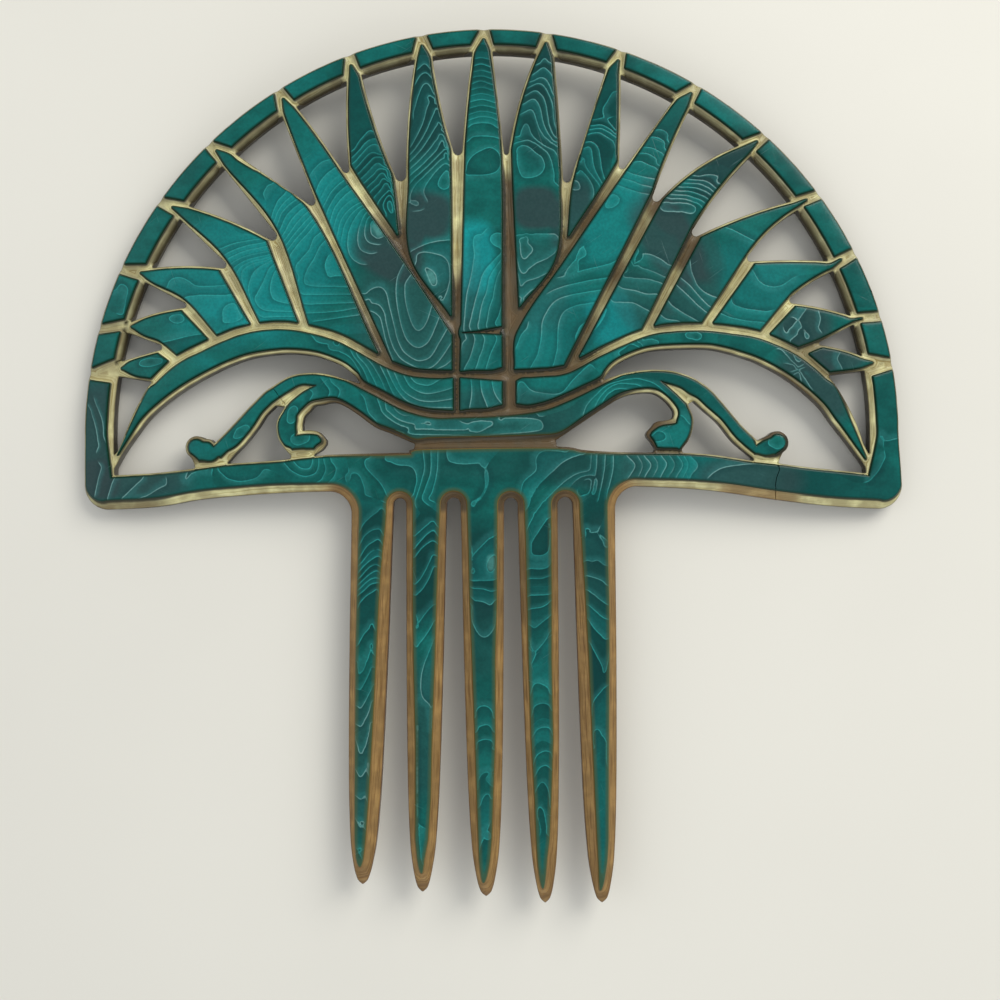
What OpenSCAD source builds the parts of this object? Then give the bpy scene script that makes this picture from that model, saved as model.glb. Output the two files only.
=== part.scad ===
// Peineta comb: one bent sheet of amber celluloid, pierced and carved into a fan of seventeen
// rays over a band, two pairs of scrolls, a bar and five teeth. A thin teal skin is left
// standing on each raised face, and the carving between the faces cuts through it.
// The drawing is flat: x runs across, y up the crown, and its origin is the middle of the
// rim's curve. The finished comb lies face up on its two side edges.

/* [Crown] */
// Width of the comb over the rim
crown_w = 142.8; // [130:0.1:156]
// Height of the crown above the middle of the rim
crown_h = 70; // [64:0.1:77]
// Width of the rim at the top of the crown
rim_top_w = 3.75; // [3.2:0.05:4.4]
// Width of the rim at its two sides
rim_side_w = 5.1; // [4.5:0.05:5.7]

/* [Sheet] */
// Thickness of the whole sheet with its skin
sheet_t = 3.5; // [3:0.1:4.5]
// Thickness of the teal skin
skin_t = 0.35; // [0.25:0.05:0.5]
// Glue line between the skin and the sheet
glue_gap = 0.05; // [0.03:0.01:0.08]
// Depth of the carving below the face
carve_d = 1; // [0.7:0.05:1.3]
// Radius of the bend, on the back of the sheet
bow_r = 650; // [450:10:1200]

/* [Carving] */
// Width of a groove between two faces
groove_w = 1.7; // [1.3:0.05:2.1]
// Width of the slope beside the openings between the rays
ray_slope_w = 0.6; // [0.4:0.05:0.8]
// Width of the rim's outer slope
rim_edge_w = 0.3; // [0.2:0.05:0.5]
// Width of the rim's inner slope
rim_slope_w = 1.2; // [0.9:0.05:1.5]
// Width of the slope on upward edges of the band, the scrolls and the bar
top_slope_w = 0.45; // [0.3:0.05:0.7]
// Width of the slope on downward edges of the band and the scrolls
low_slope_w = 0.85; // [0.6:0.05:1]
// Width of the slope along the bottom of the bar
bar_slope_w = 1.7; // [1.2:0.05:2.1]
// How far a ray's face stops short of the rim's outer edge
tip_back = 1.7; // [1.4:0.05:2.2]
// Gap along the rim between a ray's tip and the next rim panel
panel_gap = 1.15; // [0.9:0.05:1.5]

/* [Bar] */
// Width of the bar between the openings and its lower edge
bar_w = 6; // [5:0.1:7.5]
// Radius of the two lower corners
corner_r = 4.1; // [3:0.1:5]
// Depth of the head that carries the teeth, below the openings
head_h = 9.9; // [9:0.1:12]
// Radius between the bar and the outer teeth
fillet_r = 3.8; // [2.5:0.1:4.5]

/* [Teeth] */
// Length of the longest tooth
tooth_l = 69; // [55:0.5:80]
// Distance between neighbouring teeth at the root
tooth_pitch = 9.56; // [9.1:0.02:10.2]
// Width of a tooth at the root
tooth_w = 7.2; // [6.6:0.05:7.6]
// Width of the slope along the teeth
tooth_slope_w = 1.2; // [0.8:0.05:1.4]

/* [Hidden] */

// The drawing's own units: across half the inside of the rim, and up its inside
DRAW_W = 379.5;
DRAW_H = 385;
in_w = crown_w / 2 - rim_side_w;
in_h = crown_h - rim_top_w;
function at(p) = [p[0] * in_w / DRAW_W, p[1] * in_h / DRAW_H];
function mm(d) = d * in_w / DRAW_W;
function all_at(list) = [for (p = list) at(p)];

// Where each ray meets the rim's outer edge, in degrees, and how far its face stops short of
// that edge as a share of tip_back
TIP = [[170.9, 3.4], [164.4, 3.4], [155.3, 2.1], [144.2, 1.4], [133.6, 1], [121.2, 1],
    [110.2, 1], [99.8, 1], [91, 1], [82.3, 1], [71.7, 1], [60.1, 1], [48.2, 1], [37, 1.2],
    [27.2, 1.4], [17.5, 1.8], [10.6, 2]];

// The openings between the rays, from the left. Each has the rim angle at its two upper
// corners, the centre and radius of its round lower end, how far its two sides bow to the
// left of a line drawn down them, and the width of the groove below it as a share.
A0 = 0; A1 = 1; END_X = 2; END_Y = 3; END_R = 4; BOW0 = 5; BOW1 = 6; GROOVE = 7;
GAP = [
    [undef, 170.7, -338, 54.5, 0.6, 0, 0, 1],
    [168.4, 163.8, -331.5, 90, 3.2, 0, 0, 1],
    [162.2, 155.6, -306.5, 132.5, 3, 2.2, 0, 1],
    [153.3, 144.6, -266.5, 173, 3.8, 2.2, 0, 1],
    [142.3, 134.4, -216.5, 201.5, 4.6, 2.4, 0, 1],
    [131.7, 122.7, -177.5, 236, 4.3, 0, 0, 1],
    [120.2, 111.8, -143, 267.5, 3.5, 1, -1.7, 1],
    [109.5, 101.3, -88.5, 261, 5.5, -2.3, -2.4, 1],
    [98.7, 92.8, -32, 286, 4.6, -2, -1, 0.75],
    [89.9, 83.4, 16, 284, 2.4, 0, -3.7, 1.5],
    [80.8, 73, 76, 258, 4, 0.7, 0, 1],
    [70.7, 62, 131, 271.5, 3.6, 0.5, 0, 1],
    [59.3, 50.1, 165, 239.5, 4.2, -1.6, -5.6, 1],
    [47.8, 38.6, 204.5, 205, 4.3, -2.8, -2.5, 1],
    [37, 27.9, 260, 180, 4.2, -3.5, -1, 1],
    [26.3, 18.8, 302.5, 138, 4, -1.7, -1.5, 1],
    [17.5, 12.4, 331, 94, 2.2, 0, -1.5, 1],
    [10.2, undef, 338, 61, 0.6, 0, 0, 1]];

// The grooves' ends and joints, and the ones that each ray's left and right side run to
J1 = [-313, 76.4];
J2 = [-273, 96];
J3 = [-231, 109];
J4 = [-183, 107.5];
J5 = [-100, 71];
J6 = [-83, 178];
J7 = [-33, 102];
J8 = [-33, 60.5];
J9 = [19, 61];
J10 = [22, 104];
J11 = [69, 176];
J12 = [76, 66];
J13 = [153, 103];
J14 = [212, 109];
J15 = [270, 101];
J16 = [307, 85];
LEFT = [[], [J1], [J2], [J3], [J4], [J5], [J6], [J6, J7], [J8],
    [J10], [J11], [J11, J10, J9], [J12], [J13], [J14], [J15], [J16]];
RIGHT = [[J1], [J2], [J3], [J4], [J5], [J6, J7, J8], [], [], [J9],
    [J11], [], [J12], [J13], [J14], [J15], [J16], []];

// The band between the rays and the openings over the bar: its upper and lower edges
BAND_TOP = [[-377, -23], [-370, -9], [-359, 19], [-349, 38], [-338, 55], J1, [-290, 88], J2,
    [-251, 104.5], J3, [-207, 110.5], J4, [-150, 98], [-122, 83], J5, [-74, 62.5], J8, J9,
    [50, 62.5], J12, [110, 84], J13, [182, 108], J14, [242, 106], J15, J16, [337, 61],
    [354, 38], [367, 13], [374, -7], [377, -17]];
BAND_LOW_LEFT = [[-377, -33], [-368, -17], [-353, 4], [-340, 20], [-320, 37], [-300, 50.5],
    [-280, 61.5], [-260, 71], [-240, 78], [-220, 81.5], [-200, 83], [-177, 81], [-160, 76],
    [-145, 69], [-133, 59]];
BAND_GROOVE = [[-128, 51.5], [-110, 42], [-84, 28.5], [-57, 21.5], [-30, 21.5], [10, 23],
    [50, 28], [80, 39.5], [112, 55.5]];
BAND_LOW_RIGHT = [[116, 62], [122, 69], [132, 75.5], [150, 83], [171, 86.7],
    [210, 88], [230, 85.5], [250, 80], [267, 74], [290, 62], [310, 48], [330, 30], [342, 14],
    [360, -9], [376, -31]];

// The scrolls, left and right: the upper edge, the outer stem's lower edge, the inner
// scroll's outer and inner edges and its small curl
STEM_TOP_LEFT = [[-275.4, -9], [-259.5, 7], [-240, 28], [-225, 43], [-218, 48], [-199, 59.5],
    [-179, 63], [-161, 61.4], [-142, 56], [-128, 51.5]];
STEM_TOP_RIGHT = [[112, 55.5], [130, 61.5], [148, 65], [165, 66], [182, 64.5], [198, 59.5],
    [210, 53], [223, 42], [249, 11.5], [266, -5]];
STEM_LOW_LEFT = [[-261, -27], [-254, -18.5], [-244, -8.5], [-231.5, 7], [-223, 20], [-213, 30]];
STEM_LOW_RIGHT = [[202, 35], [213.5, 24.5], [227, 12.5], [242, -6], [262, -23]];
WEDGE_LEFT = [[-200, 43], [-187, 50], [-173.5, 50.5], [-185, 44.5], [-197, 35]];
WEDGE_RIGHT = [[194, 32], [183, 43], [169.5, 54], [187, 48], [196, 42]];
HOOK_OUT_LEFT = [[-203.4, 29], [-211.7, 14], [-210.5, -2], [-204, -13], [-198, -20]];
HOOK_OUT_RIGHT = [[190, -14], [198.6, -1], [201.6, 16], [196, 31]];
CURL_LEFT = [[-174.5, -19], [-166, -8], [-168, 1.5], [-175, 5], [-190, 5]];
CURL_RIGHT = [[181, 17], [175, 15], [165, 12], [158, 4], [159.5, -5], [164, -13.6]];
HOOK_IN_LEFT = [[-190, 5], [-189, 18], [-182, 28], [-170, 34], [-157, 34.8], [-144.7, 29.7],
    [-130.5, 20.5], [-114, 8.3], [-99, 2.2], [-74.5, -8.5]];
HOOK_IN_RIGHT = [[65, -5], [71, -1], [110, 25.6], [133, 39.3], [158.6, 43], [172.4, 36.3],
    [182, 24.5], [181, 17]];
// The outer curls: centre and radius
OUTER_CURL_LEFT = [-292.5, -12];
OUTER_CURL_RIGHT = [286, -7];
OUTER_CURL_R = 11.5;

// The bar's upper edge, and its width from place to place as a share of bar_w
BAR_TOP = [[-377, -40], [-333, -37.5], [-294, -33], [-261, -28.5], [-210, -25], [-161, -19.6],
    [-80, -17.5], [-73, -13], [62, -11], [90, -14.5], [130, -17], [193, -17.5], [226, -20],
    [258, -25], [287, -28], [319, -32], [369, -37], [377, -38]];
BAR_SHARE_LEFT = [[-383, 1], [-333, 0.99], [-290, 0.93], [-251, 0.95], [-210, 0.95]];
BAR_SHARE_RIGHT = [[216, 1.04], [287, 1.06], [340, 1.06], [388, 1.03]];

// The teeth: each root's place and each tip's place in pitches from the middle of the comb,
// the root's width and the tooth's length as shares
ROOT = 0; TIP_X = 1; WIDE = 2; LONG = 3;
TOOTH = [
    [-2.13, -2.31, 1.01, 0.955],
    [-1.15, -1.22, 0.97, 0.973],
    [-0.14, -0.07, 1.04, 0.983],
    [0.86, 1, 0.96, 1],
    [1.88, 2.03, 1.02, 1]];
// A tooth's width along its length, both as shares
TAPER = [[0, 1], [0.4, 0.91], [0.72, 0.78], [0.88, 0.62], [0.95, 0.43], [0.987, 0.24]];
// Where the skin on a tooth comes to a point
SKIN_POINT = 0.94;

// Colours of the two layers
AMBER = [0.72, 0.55, 0.26];
TEAL = [0.02, 0.36, 0.33];

// Unit vector along v, and v turned a quarter to its left
function unit(v) = v / norm(v);
function left_of(v) = [-v[1], v[0]];
function flat(p) = [p[0], p[1]];
function reversed(list) = [for (i = [len(list) - 1 : -1 : 0]) list[i]];
function last(list) = list[len(list) - 1];
// The same points with the width of the slope that each one's face keeps clear
function sloped(list, w) = [for (p = list) [p[0], p[1], w]];

// Points of the round outline: on the rim at an angle, a distance in from its outer edge
RIM_X = 1.5;
function rim(a, d = 0) = [mm(RIM_X) + (crown_w / 2 - d) * cos(a), (crown_h - d) * sin(a)];
function rim_w(a) = rim_top_w + (rim_side_w - rim_top_w) * cos(a) * cos(a);
function arc(c, r, a, b, n) = [for (k = [0 : n]) c + r * [cos(a + (b - a) * k / n), sin(a + (b - a) * k / n)]];

// Smooth curve through points, with n steps from each point to the next
STEPS = 3;
function between(a, b, c, d, t) =
    b + (c - a) * t / 2 + (2 * a - 5 * b + 4 * c - d) * t * t / 2 + (3 * b - a - 3 * c + d) * t * t * t / 2;
function smooth(p, n = STEPS) = concat(
    [for (i = [0 : len(p) - 2], k = [0 : n - 1])
        between(p[max(i - 1, 0)], p[i], p[i + 1], p[min(i + 2, len(p) - 1)], k / n)],
    [last(p)]);
function through(list, n = STEPS) = smooth(all_at(list), n);

// Side of an opening: from p to q, with its middle bowed b to the left
SIDE_STEPS = 8;
function side(p, q, b) = [for (k = [0 : SIDE_STEPS])
    let (t = k / SIDE_STEPS) p + (q - p) * t + left_of(unit(q - p)) * b * 4 * t * (1 - t)];

// Face inside a path that runs with the face on its left: each point moves in by its width
LONG_CORNER = 0.1;
SHORT_CORNER = 0.5;
function inside(path) = [for (i = [0 : len(path) - 1])
    let (n = len(path), p = flat(path[i]),
        a = left_of(unit(p - flat(path[(i + n - 1) % n]))),
        b = left_of(unit(flat(path[(i + 1) % n]) - p)),
        m = unit(a + b),
        outward = a[0] * b[1] - a[1] * b[0] > 0)
    p + m * path[i][2] / max(m * a, outward ? LONG_CORNER : SHORT_CORNER)];

// Lines that several pieces share
band_top = through(BAND_TOP);
band_groove = through(BAND_GROOVE);
band_low_left = through(BAND_LOW_LEFT);
band_low_right = through(BAND_LOW_RIGHT);
band_low = concat(band_low_left, band_groove, band_low_right);
bar_top = through(BAR_TOP, 2);
CLEAR = 0.5;
function span(line, x0, x1, d = CLEAR) = [for (p = line) if (p[0] > x0 + d && p[0] < x1 - d) p];
function on(line, x) = [x, lookup(x, line)];

// One opening between rays i and i + 1: round end, corners and sides
function gap_end(i) = at([GAP[i][END_X], GAP[i][END_Y]]);
function corner(a) = rim(a, rim_w(a));
function gap_axis(i) =
    let (a = GAP[i][A0] == undef ? GAP[i][A1] : GAP[i][A0], b = GAP[i][A1] == undef ? a : GAP[i][A1])
    unit(corner((a + b) / 2) - gap_end(i));
function end_side(i, s) = gap_end(i) + s * mm(GAP[i][END_R]) * left_of(gap_axis(i));
function side0(i) = side(corner(GAP[i][A0]), end_side(i, 1), mm(GAP[i][BOW0]));
function side1(i) = side(corner(GAP[i][A1]), end_side(i, -1), mm(GAP[i][BOW1]));
function half_groove(i) = GAP[i][GROOVE] * groove_w / 2;
RIM_STEP = 2;
function rim_arc(a, b, d) = let (n = ceil(abs(b - a) / RIM_STEP))
    [for (k = [0 : n]) rim(a + (b - a) * k / n, d)];
function inner_arc(a, b) = let (n = ceil(abs(b - a) / RIM_STEP))
    [for (k = [0 : n]) corner(a + (b - a) * k / n)];

module ray_gap(i) {
    ends = gap_end(i);
    turn = atan2(gap_axis(i)[1], gap_axis(i)[0]);
    polygon(concat(
        inner_arc(GAP[i][A1], GAP[i][A0]),
        side0(i),
        arc(ends, mm(GAP[i][END_R]), turn + 120, turn + 240, 4),
        reversed(side1(i))));
}

// The two openings between the outermost rays, the rim and the band
RIM_END = 183;
module low_gap_left() polygon(concat(
    inner_arc(GAP[0][A1], RIM_END),
    span(band_top, at([-378, 0])[0], end_side(0, -1)[0]),
    reversed(side1(0))));
module low_gap_right() polygon(concat(
    inner_arc(180 - RIM_END, GAP[17][A0]),
    side0(17),
    span(band_top, end_side(17, 1)[0], at([378, 0])[0])));

// The three openings on each side of the teeth's head, over the bar
CURL_STEPS = 9;
curl_left = arc(at(OUTER_CURL_LEFT), mm(OUTER_CURL_R), 40, 240, CURL_STEPS);
curl_right = arc(at(OUTER_CURL_RIGHT), mm(OUTER_CURL_R), -60, 140, CURL_STEPS);
function bar_span(x0, x1) = concat([on(bar_top, x0)], span(bar_top, x0, x1), [on(bar_top, x1)]);
FOOT_OUT_LEFT = [-294, -261];
FOOT_IN_LEFT = [-198, -174.5];
FOOT_IN_RIGHT = [162, 191];
FOOT_OUT_RIGHT = [262, 287];
function x_at(x) = at([x, 0])[0];

module outer_window_left() polygon(concat(
    bar_span(x_at(-377), x_at(FOOT_OUT_LEFT[0])),
    reversed(curl_left), through(STEM_TOP_LEFT), reversed(band_low_left)));
module outer_window_right() polygon(concat(
    bar_span(x_at(FOOT_OUT_RIGHT[1]), x_at(377)),
    reversed(band_low_right), through(STEM_TOP_RIGHT), reversed(curl_right)));
module middle_window_left() polygon(concat(
    bar_span(x_at(FOOT_OUT_LEFT[1]), x_at(FOOT_IN_LEFT[0])),
    reversed(through(HOOK_OUT_LEFT)), reversed(through(STEM_LOW_LEFT))));
module middle_window_right() polygon(concat(
    bar_span(x_at(FOOT_IN_RIGHT[1]), x_at(FOOT_OUT_RIGHT[0])),
    reversed(through(STEM_LOW_RIGHT)), reversed(through(HOOK_OUT_RIGHT))));
module inner_window_left() polygon(concat(
    bar_span(x_at(FOOT_IN_LEFT[1]), x_at(-75)),
    reversed(through(HOOK_IN_LEFT)), reversed(through(CURL_LEFT))));
module inner_window_right() polygon(concat(
    bar_span(x_at(66), x_at(FOOT_IN_RIGHT[0])),
    reversed(through(CURL_RIGHT)), reversed(through(HOOK_IN_RIGHT))));

// The teeth: both edges of tooth i from its root, and its tip
HEAD_TOP = -12;
root_y = at([0, HEAD_TOP])[1] - head_h;
function tooth_at(i, s) =
    let (x = tooth_pitch * (TOOTH[i][ROOT] + (TOOTH[i][TIP_X] - TOOTH[i][ROOT]) * s))
    [x, root_y - tooth_l * TOOTH[i][LONG] * s];
function tooth_edge(i, hand, from = 0) = [for (k = [from : len(TAPER) - 1])
    tooth_at(i, TAPER[k][0]) + [hand * tooth_w * TOOTH[i][WIDE] * TAPER[k][1] / 2, 0]];
function root_edge(i, hand) = tooth_edge(i, hand)[0];
// Round top of the slot between tooth i and the next
function slot(i) =
    let (a = root_edge(i, 1), b = root_edge(i + 1, -1))
    arc((a + b) / 2, (b[0] - a[0]) / 2, 165, 15, 6);
// The skin stops in a point short of the tooth's own tip
SHEET = 0;
SKIN = 1;
function tooth_tip(i, layer) = layer == SKIN
    ? [concat(tooth_at(i, SKIN_POINT), [0])]
    : [concat(tooth_at(i, 1), [0])];
function tooth_sides(i, hand, from, layer) =
    let (edge = tooth_edge(i, hand, from), n = len(edge) - (layer == SKIN ? 3 : 1))
    sloped([for (k = [0 : n]) edge[k]], tooth_slope_w);
LAST = len(TOOTH) - 1;
function teeth(layer) = [for (i = [0 : LAST]) each concat(
    tooth_sides(i, -1, i == 0 ? 1 : 0, layer),
    tooth_tip(i, layer),
    reversed(tooth_sides(i, 1, i == LAST ? 1 : 0, layer)),
    i == LAST ? [] : sloped(slot(i), tooth_slope_w))];

// The comb's lower outline from the left side of the rim round to the right one
function bar_low(share) = [for (s = share) on(bar_top, x_at(s[0])) - [0, bar_w * s[1]]];
low_left = bar_low(BAR_SHARE_LEFT);
low_right = bar_low(BAR_SHARE_RIGHT);
tooth_left = root_edge(0, -1)[0];
tooth_right = root_edge(LAST, 1)[0];
half_w = crown_w / 2;
// Width of the bar beside the outer teeth, left and right, and how far the right foot spreads
// out past the rim, as shares
FILLET_SHARE = [1.06, 0.98];
FOOT_SPREAD = 0.1;
fillet_left = on(bar_top, tooth_left - fillet_r) - [0, bar_w * FILLET_SHARE[0] + fillet_r];
fillet_right = on(bar_top, tooth_right + fillet_r) - [0, bar_w * FILLET_SHARE[1] + fillet_r];
foot_left = [mm(RIM_X) - half_w + corner_r, low_left[0][1] + corner_r];
foot_right = [mm(RIM_X) + half_w + FOOT_SPREAD * bar_w - corner_r, last(low_right)[1] + corner_r];
function corner_slope(k, n) = rim_edge_w + (bar_slope_w - rim_edge_w) * k / n;
CORNER_STEPS = 6;
function foot(layer) = concat(
    [for (k = [0 : CORNER_STEPS]) concat(
        foot_left - corner_r * [cos(90 * k / CORNER_STEPS), sin(90 * k / CORNER_STEPS)],
        [corner_slope(k, CORNER_STEPS)])],
    sloped([for (k = [1 : len(low_left) - 1]) low_left[k]], bar_slope_w),
    sloped(arc(fillet_left, fillet_r, 90, 0, 5),
        (bar_slope_w + tooth_slope_w) / 2),
    teeth(layer),
    sloped(arc(fillet_right, fillet_r, 180, 90, 5),
        (bar_slope_w + tooth_slope_w) / 2),
    sloped([for (k = [0 : len(low_right) - 2]) low_right[k]], bar_slope_w),
    [for (k = [CORNER_STEPS : -1 : 0]) concat(
        foot_right + corner_r * [cos(90 * k / CORNER_STEPS), -sin(90 * k / CORNER_STEPS)],
        [corner_slope(k, CORNER_STEPS)])]);

// Outline of the whole sheet with every opening cut through it
module sheet_outline() difference() {
    polygon([for (p = concat(foot(SHEET), rim_arc(0, 180, 0))) flat(p)]);
    for (i = [1 : 16]) ray_gap(i);
    low_gap_left();
    low_gap_right();
    outer_window_left();
    outer_window_right();
    middle_window_left();
    middle_window_right();
    inner_window_left();
    inner_window_right();
}

// Outline of the face on ray i
NICK = [[21, 111], [-25.5, 102.3], [21, 104]];
ANGLE = 0;
BACK = 1;
function ray_tip(i) =
    let (edge = rim(TIP[i - 1][ANGLE]), base = (side1(i - 1)[1] + side0(i)[1]) / 2)
    edge + unit(base - edge) * tip_back * TIP[i - 1][BACK];
// The points of a ray's side that lie below the tip of its face
function below_tip(list, i) = let (edge = rim(TIP[i - 1][ANGLE]))
    [for (p = list) if (norm(p - edge) > tip_back * TIP[i - 1][BACK] + 3 * ray_slope_w) p];
// Rays whose foot stands on a neighbour and not on the band
HELD_UP = [7, 8, 10, 11];
function route(list, i) = sloped(all_at(list), half_groove(i));
function ray_base(i) =
    let (l = LEFT[i - 1], r = RIGHT[i - 1],
        a = len(l) > 0 ? x_at(last(l)[0]) : end_side(0, -1)[0],
        b = len(r) > 0 ? x_at(last(r)[0]) : end_side(17, 1)[0])
    len(search(i, HELD_UP)) > 0 ? [] : sloped(span(band_top, a, b, 1.4 * groove_w), groove_w / 2);
module ray_outline(i) difference() {
    polygon(inside(concat(
        [concat(ray_tip(i), [0])],
        sloped(below_tip(side1(i - 1), i), ray_slope_w),
        route(LEFT[i - 1], i - 1),
        ray_base(i),
        reversed(route(RIGHT[i - 1], i)),
        reversed(sloped(below_tip(side0(i), i), ray_slope_w)))));
    if (i == 9) polygon(all_at(NICK));
}

// Outline of the rim panel between rays i and i + 1
function gap_angle(d) = d / (crown_w / 2) * 180 / PI;
module panel_outline(i) {
    g = gap_angle(panel_gap);
    a = TIP[i][ANGLE] + g;
    b = TIP[i - 1][ANGLE] - g;
    n = ceil((b - a) / RIM_STEP);
    c = GAP[i][A1] + g / 3;
    d = GAP[i][A0] - g / 3;
    polygon(concat(
        rim_arc(a, b, rim_edge_w),
        [for (k = [n : -1 : 0]) let (t = c + (d - c) * k / n) rim(t, rim_w(t) - rim_slope_w)]));
}

// Outlines of the band's three faces, split by the two upright grooves
BAND_TIP_LEFT = [-374, -21];
BAND_TIP_RIGHT = [377, -25];
BAND_END = 362;
function band_low_w(p) = p[0] > x_at(-128) && p[0] < x_at(112) ? groove_w / 2 : low_slope_w;
function band_top_w(p) = p[0] < x_at(-338) || p[0] > x_at(338) ? top_slope_w : groove_w / 2;
function band_lower(x0, x1) = [for (p = span(band_low, x0, x1, groove_w)) concat(p, [band_low_w(p)])];
function band_upper(x0, x1) = [for (p = reversed(span(band_top, x0, x1, groove_w))) concat(p, [band_top_w(p)])];
function cross_line(x, i, up) =
    let (a = concat(on(band_low, x), [half_groove(i)]), b = concat(on(band_top, x), [half_groove(i)]))
    up ? [a, b] : [b, a];
module band_left_outline() polygon(inside(concat(
    [concat(at(BAND_TIP_LEFT), [0])],
    band_lower(x_at(-BAND_END), x_at(J8[0])),
    cross_line(x_at(J8[0]), 8, true),
    band_upper(x_at(-BAND_END), x_at(J8[0])))));
module band_middle_outline() polygon(inside(concat(
    cross_line(x_at(J8[0]), 8, false),
    band_lower(x_at(J8[0]), x_at(J9[0])),
    cross_line(x_at(J9[0]), 9, true))));
module band_right_outline() polygon(inside(concat(
    cross_line(x_at(J9[0]), 9, false),
    band_lower(x_at(J9[0]), x_at(BAND_END)),
    [concat(at(BAND_TIP_RIGHT), [0])],
    band_upper(x_at(J9[0]), x_at(BAND_END)))));

// Outline of the scrolls' one face, with the groove over the bar below it
foot_line = low_slope_w;
function foot_at(x) = concat(on(bar_top, x_at(x)), [foot_line]);
function line_in(list, w, n = STEPS) = sloped(through(list, n), w);
module scroll_outline() polygon(inside(concat(
    [foot_at(FOOT_OUT_LEFT[0] + 2), foot_at(FOOT_OUT_LEFT[1])],
    line_in(STEM_LOW_LEFT, low_slope_w),
    line_in(WEDGE_LEFT, top_slope_w / 2, 1),
    line_in(HOOK_OUT_LEFT, top_slope_w),
    [foot_at(FOOT_IN_LEFT[1])],
    line_in([for (k = [1 : 4]) CURL_LEFT[k]], low_slope_w, 2),
    line_in([for (k = [1 : len(HOOK_IN_LEFT) - 1]) HOOK_IN_LEFT[k]], low_slope_w),
    sloped(all_at([[-60, -7], [50, -4]]), groove_w / 2),
    line_in([for (k = [1 : len(HOOK_IN_RIGHT) - 1]) HOOK_IN_RIGHT[k]], low_slope_w),
    line_in([for (k = [1 : 4]) CURL_RIGHT[k]], low_slope_w, 2),
    [foot_at(FOOT_IN_RIGHT[0]), foot_at(FOOT_IN_RIGHT[1])],
    line_in(HOOK_OUT_RIGHT, top_slope_w),
    line_in(WEDGE_RIGHT, top_slope_w / 2, 1),
    line_in(STEM_LOW_RIGHT, low_slope_w),
    [foot_at(FOOT_OUT_RIGHT[0]), foot_at(FOOT_OUT_RIGHT[1] - 2)],
    sloped(curl_right, low_slope_w * 0.8),
    reversed(line_in([for (k = [0 : len(STEM_TOP_RIGHT) - 2]) STEM_TOP_RIGHT[k + 1]], top_slope_w)),
    reversed(sloped(band_groove, groove_w / 2)),
    reversed(line_in([for (k = [0 : len(STEM_TOP_LEFT) - 2]) STEM_TOP_LEFT[k]], top_slope_w)),
    sloped(curl_left, low_slope_w * 0.8))));

// Outline of the face over both ends of the rim, the bar and the teeth
module bar_outline() {
    g = gap_angle(panel_gap);
    a = TIP[0][ANGLE] + g;
    b = TIP[16][ANGLE] - g;
    n = 4;
    polygon(concat(
        inside(concat(
            foot(SKIN),
            sloped([for (k = [0 : n]) rim(b * k / n)], rim_edge_w),
            sloped([for (k = [n : -1 : 0]) corner(GAP[17][A0] * k / n)], rim_slope_w),
            sloped(reversed(bar_top), top_slope_w),
            sloped([for (k = [0 : n]) corner(180 - (180 - GAP[0][A1]) * k / n)], rim_slope_w),
            sloped([for (k = [0 : n]) rim(a + (180 - a) * k / n)], rim_edge_w)))));
}

// A flat outline bent to the comb's curve, between two heights over its back. The middle of the
// comb, from side to side and from the tips of the teeth to the top, is moved to the origin.
HIGH = 40;
BEND_SIDES = 720;
middle_x = (foot_left[0] + foot_right[0]) / 2;
middle_y = (crown_h + root_y - tooth_l) / 2;
side_x = foot_right[0] + corner_r - middle_x;
module bent(low, high) intersection() {
    linear_extrude(height = HIGH, center = true) translate([-middle_x, -middle_y]) children();
    translate([0, 0, -sqrt(bow_r * bow_r - side_x * side_x)]) rotate([90, 0, 0]) difference() {
        cylinder(r = bow_r + high, h = 4 * crown_w, center = true, $fn = BEND_SIDES);
        cylinder(r = bow_r + low, h = 5 * crown_w, center = true, $fn = BEND_SIDES);
    }
}

floor_h = sheet_t - carve_d;
module skin() color(TEAL) bent(sheet_t - skin_t, sheet_t) children();

module comb_sheet() color(AMBER) {
    bent(0, floor_h) sheet_outline();
    bent(floor_h / 2, sheet_t - skin_t - glue_gap) {
        bar_outline();
        scroll_outline();
        band_left_outline();
        band_middle_outline();
        band_right_outline();
        for (i = [1 : 17]) ray_outline(i);
        for (i = [1 : 16]) panel_outline(i);
    }
}
module bar_face() skin() bar_outline();
module scroll_face() skin() scroll_outline();
module band_face_left() skin() band_left_outline();
module band_face_middle() skin() band_middle_outline();
module band_face_right() skin() band_right_outline();
module ray_face(i) skin() ray_outline(i);
module rim_panel(i) skin() panel_outline(i);

comb_sheet();
bar_face();
scroll_face();
band_face_left();
band_face_middle();
band_face_right();
for (i = [1 : 17]) ray_face(i);
for (i = [1 : 16]) rim_panel(i);
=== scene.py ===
"""Peineta comb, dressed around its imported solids.

The comb is one bent amber sheet with a thin teal skin, pierced and carved so that the teal is
left as separate faces. Everything here is worked out in millimetres on the flat drawing of the
sheet (x across, y up the crown, h above the sheet's back) and then bent onto the comb's curve.
"""
import math

import bpy
import numpy as np
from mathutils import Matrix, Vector
from mathutils.geometry import delaunay_2d_cdt


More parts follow.
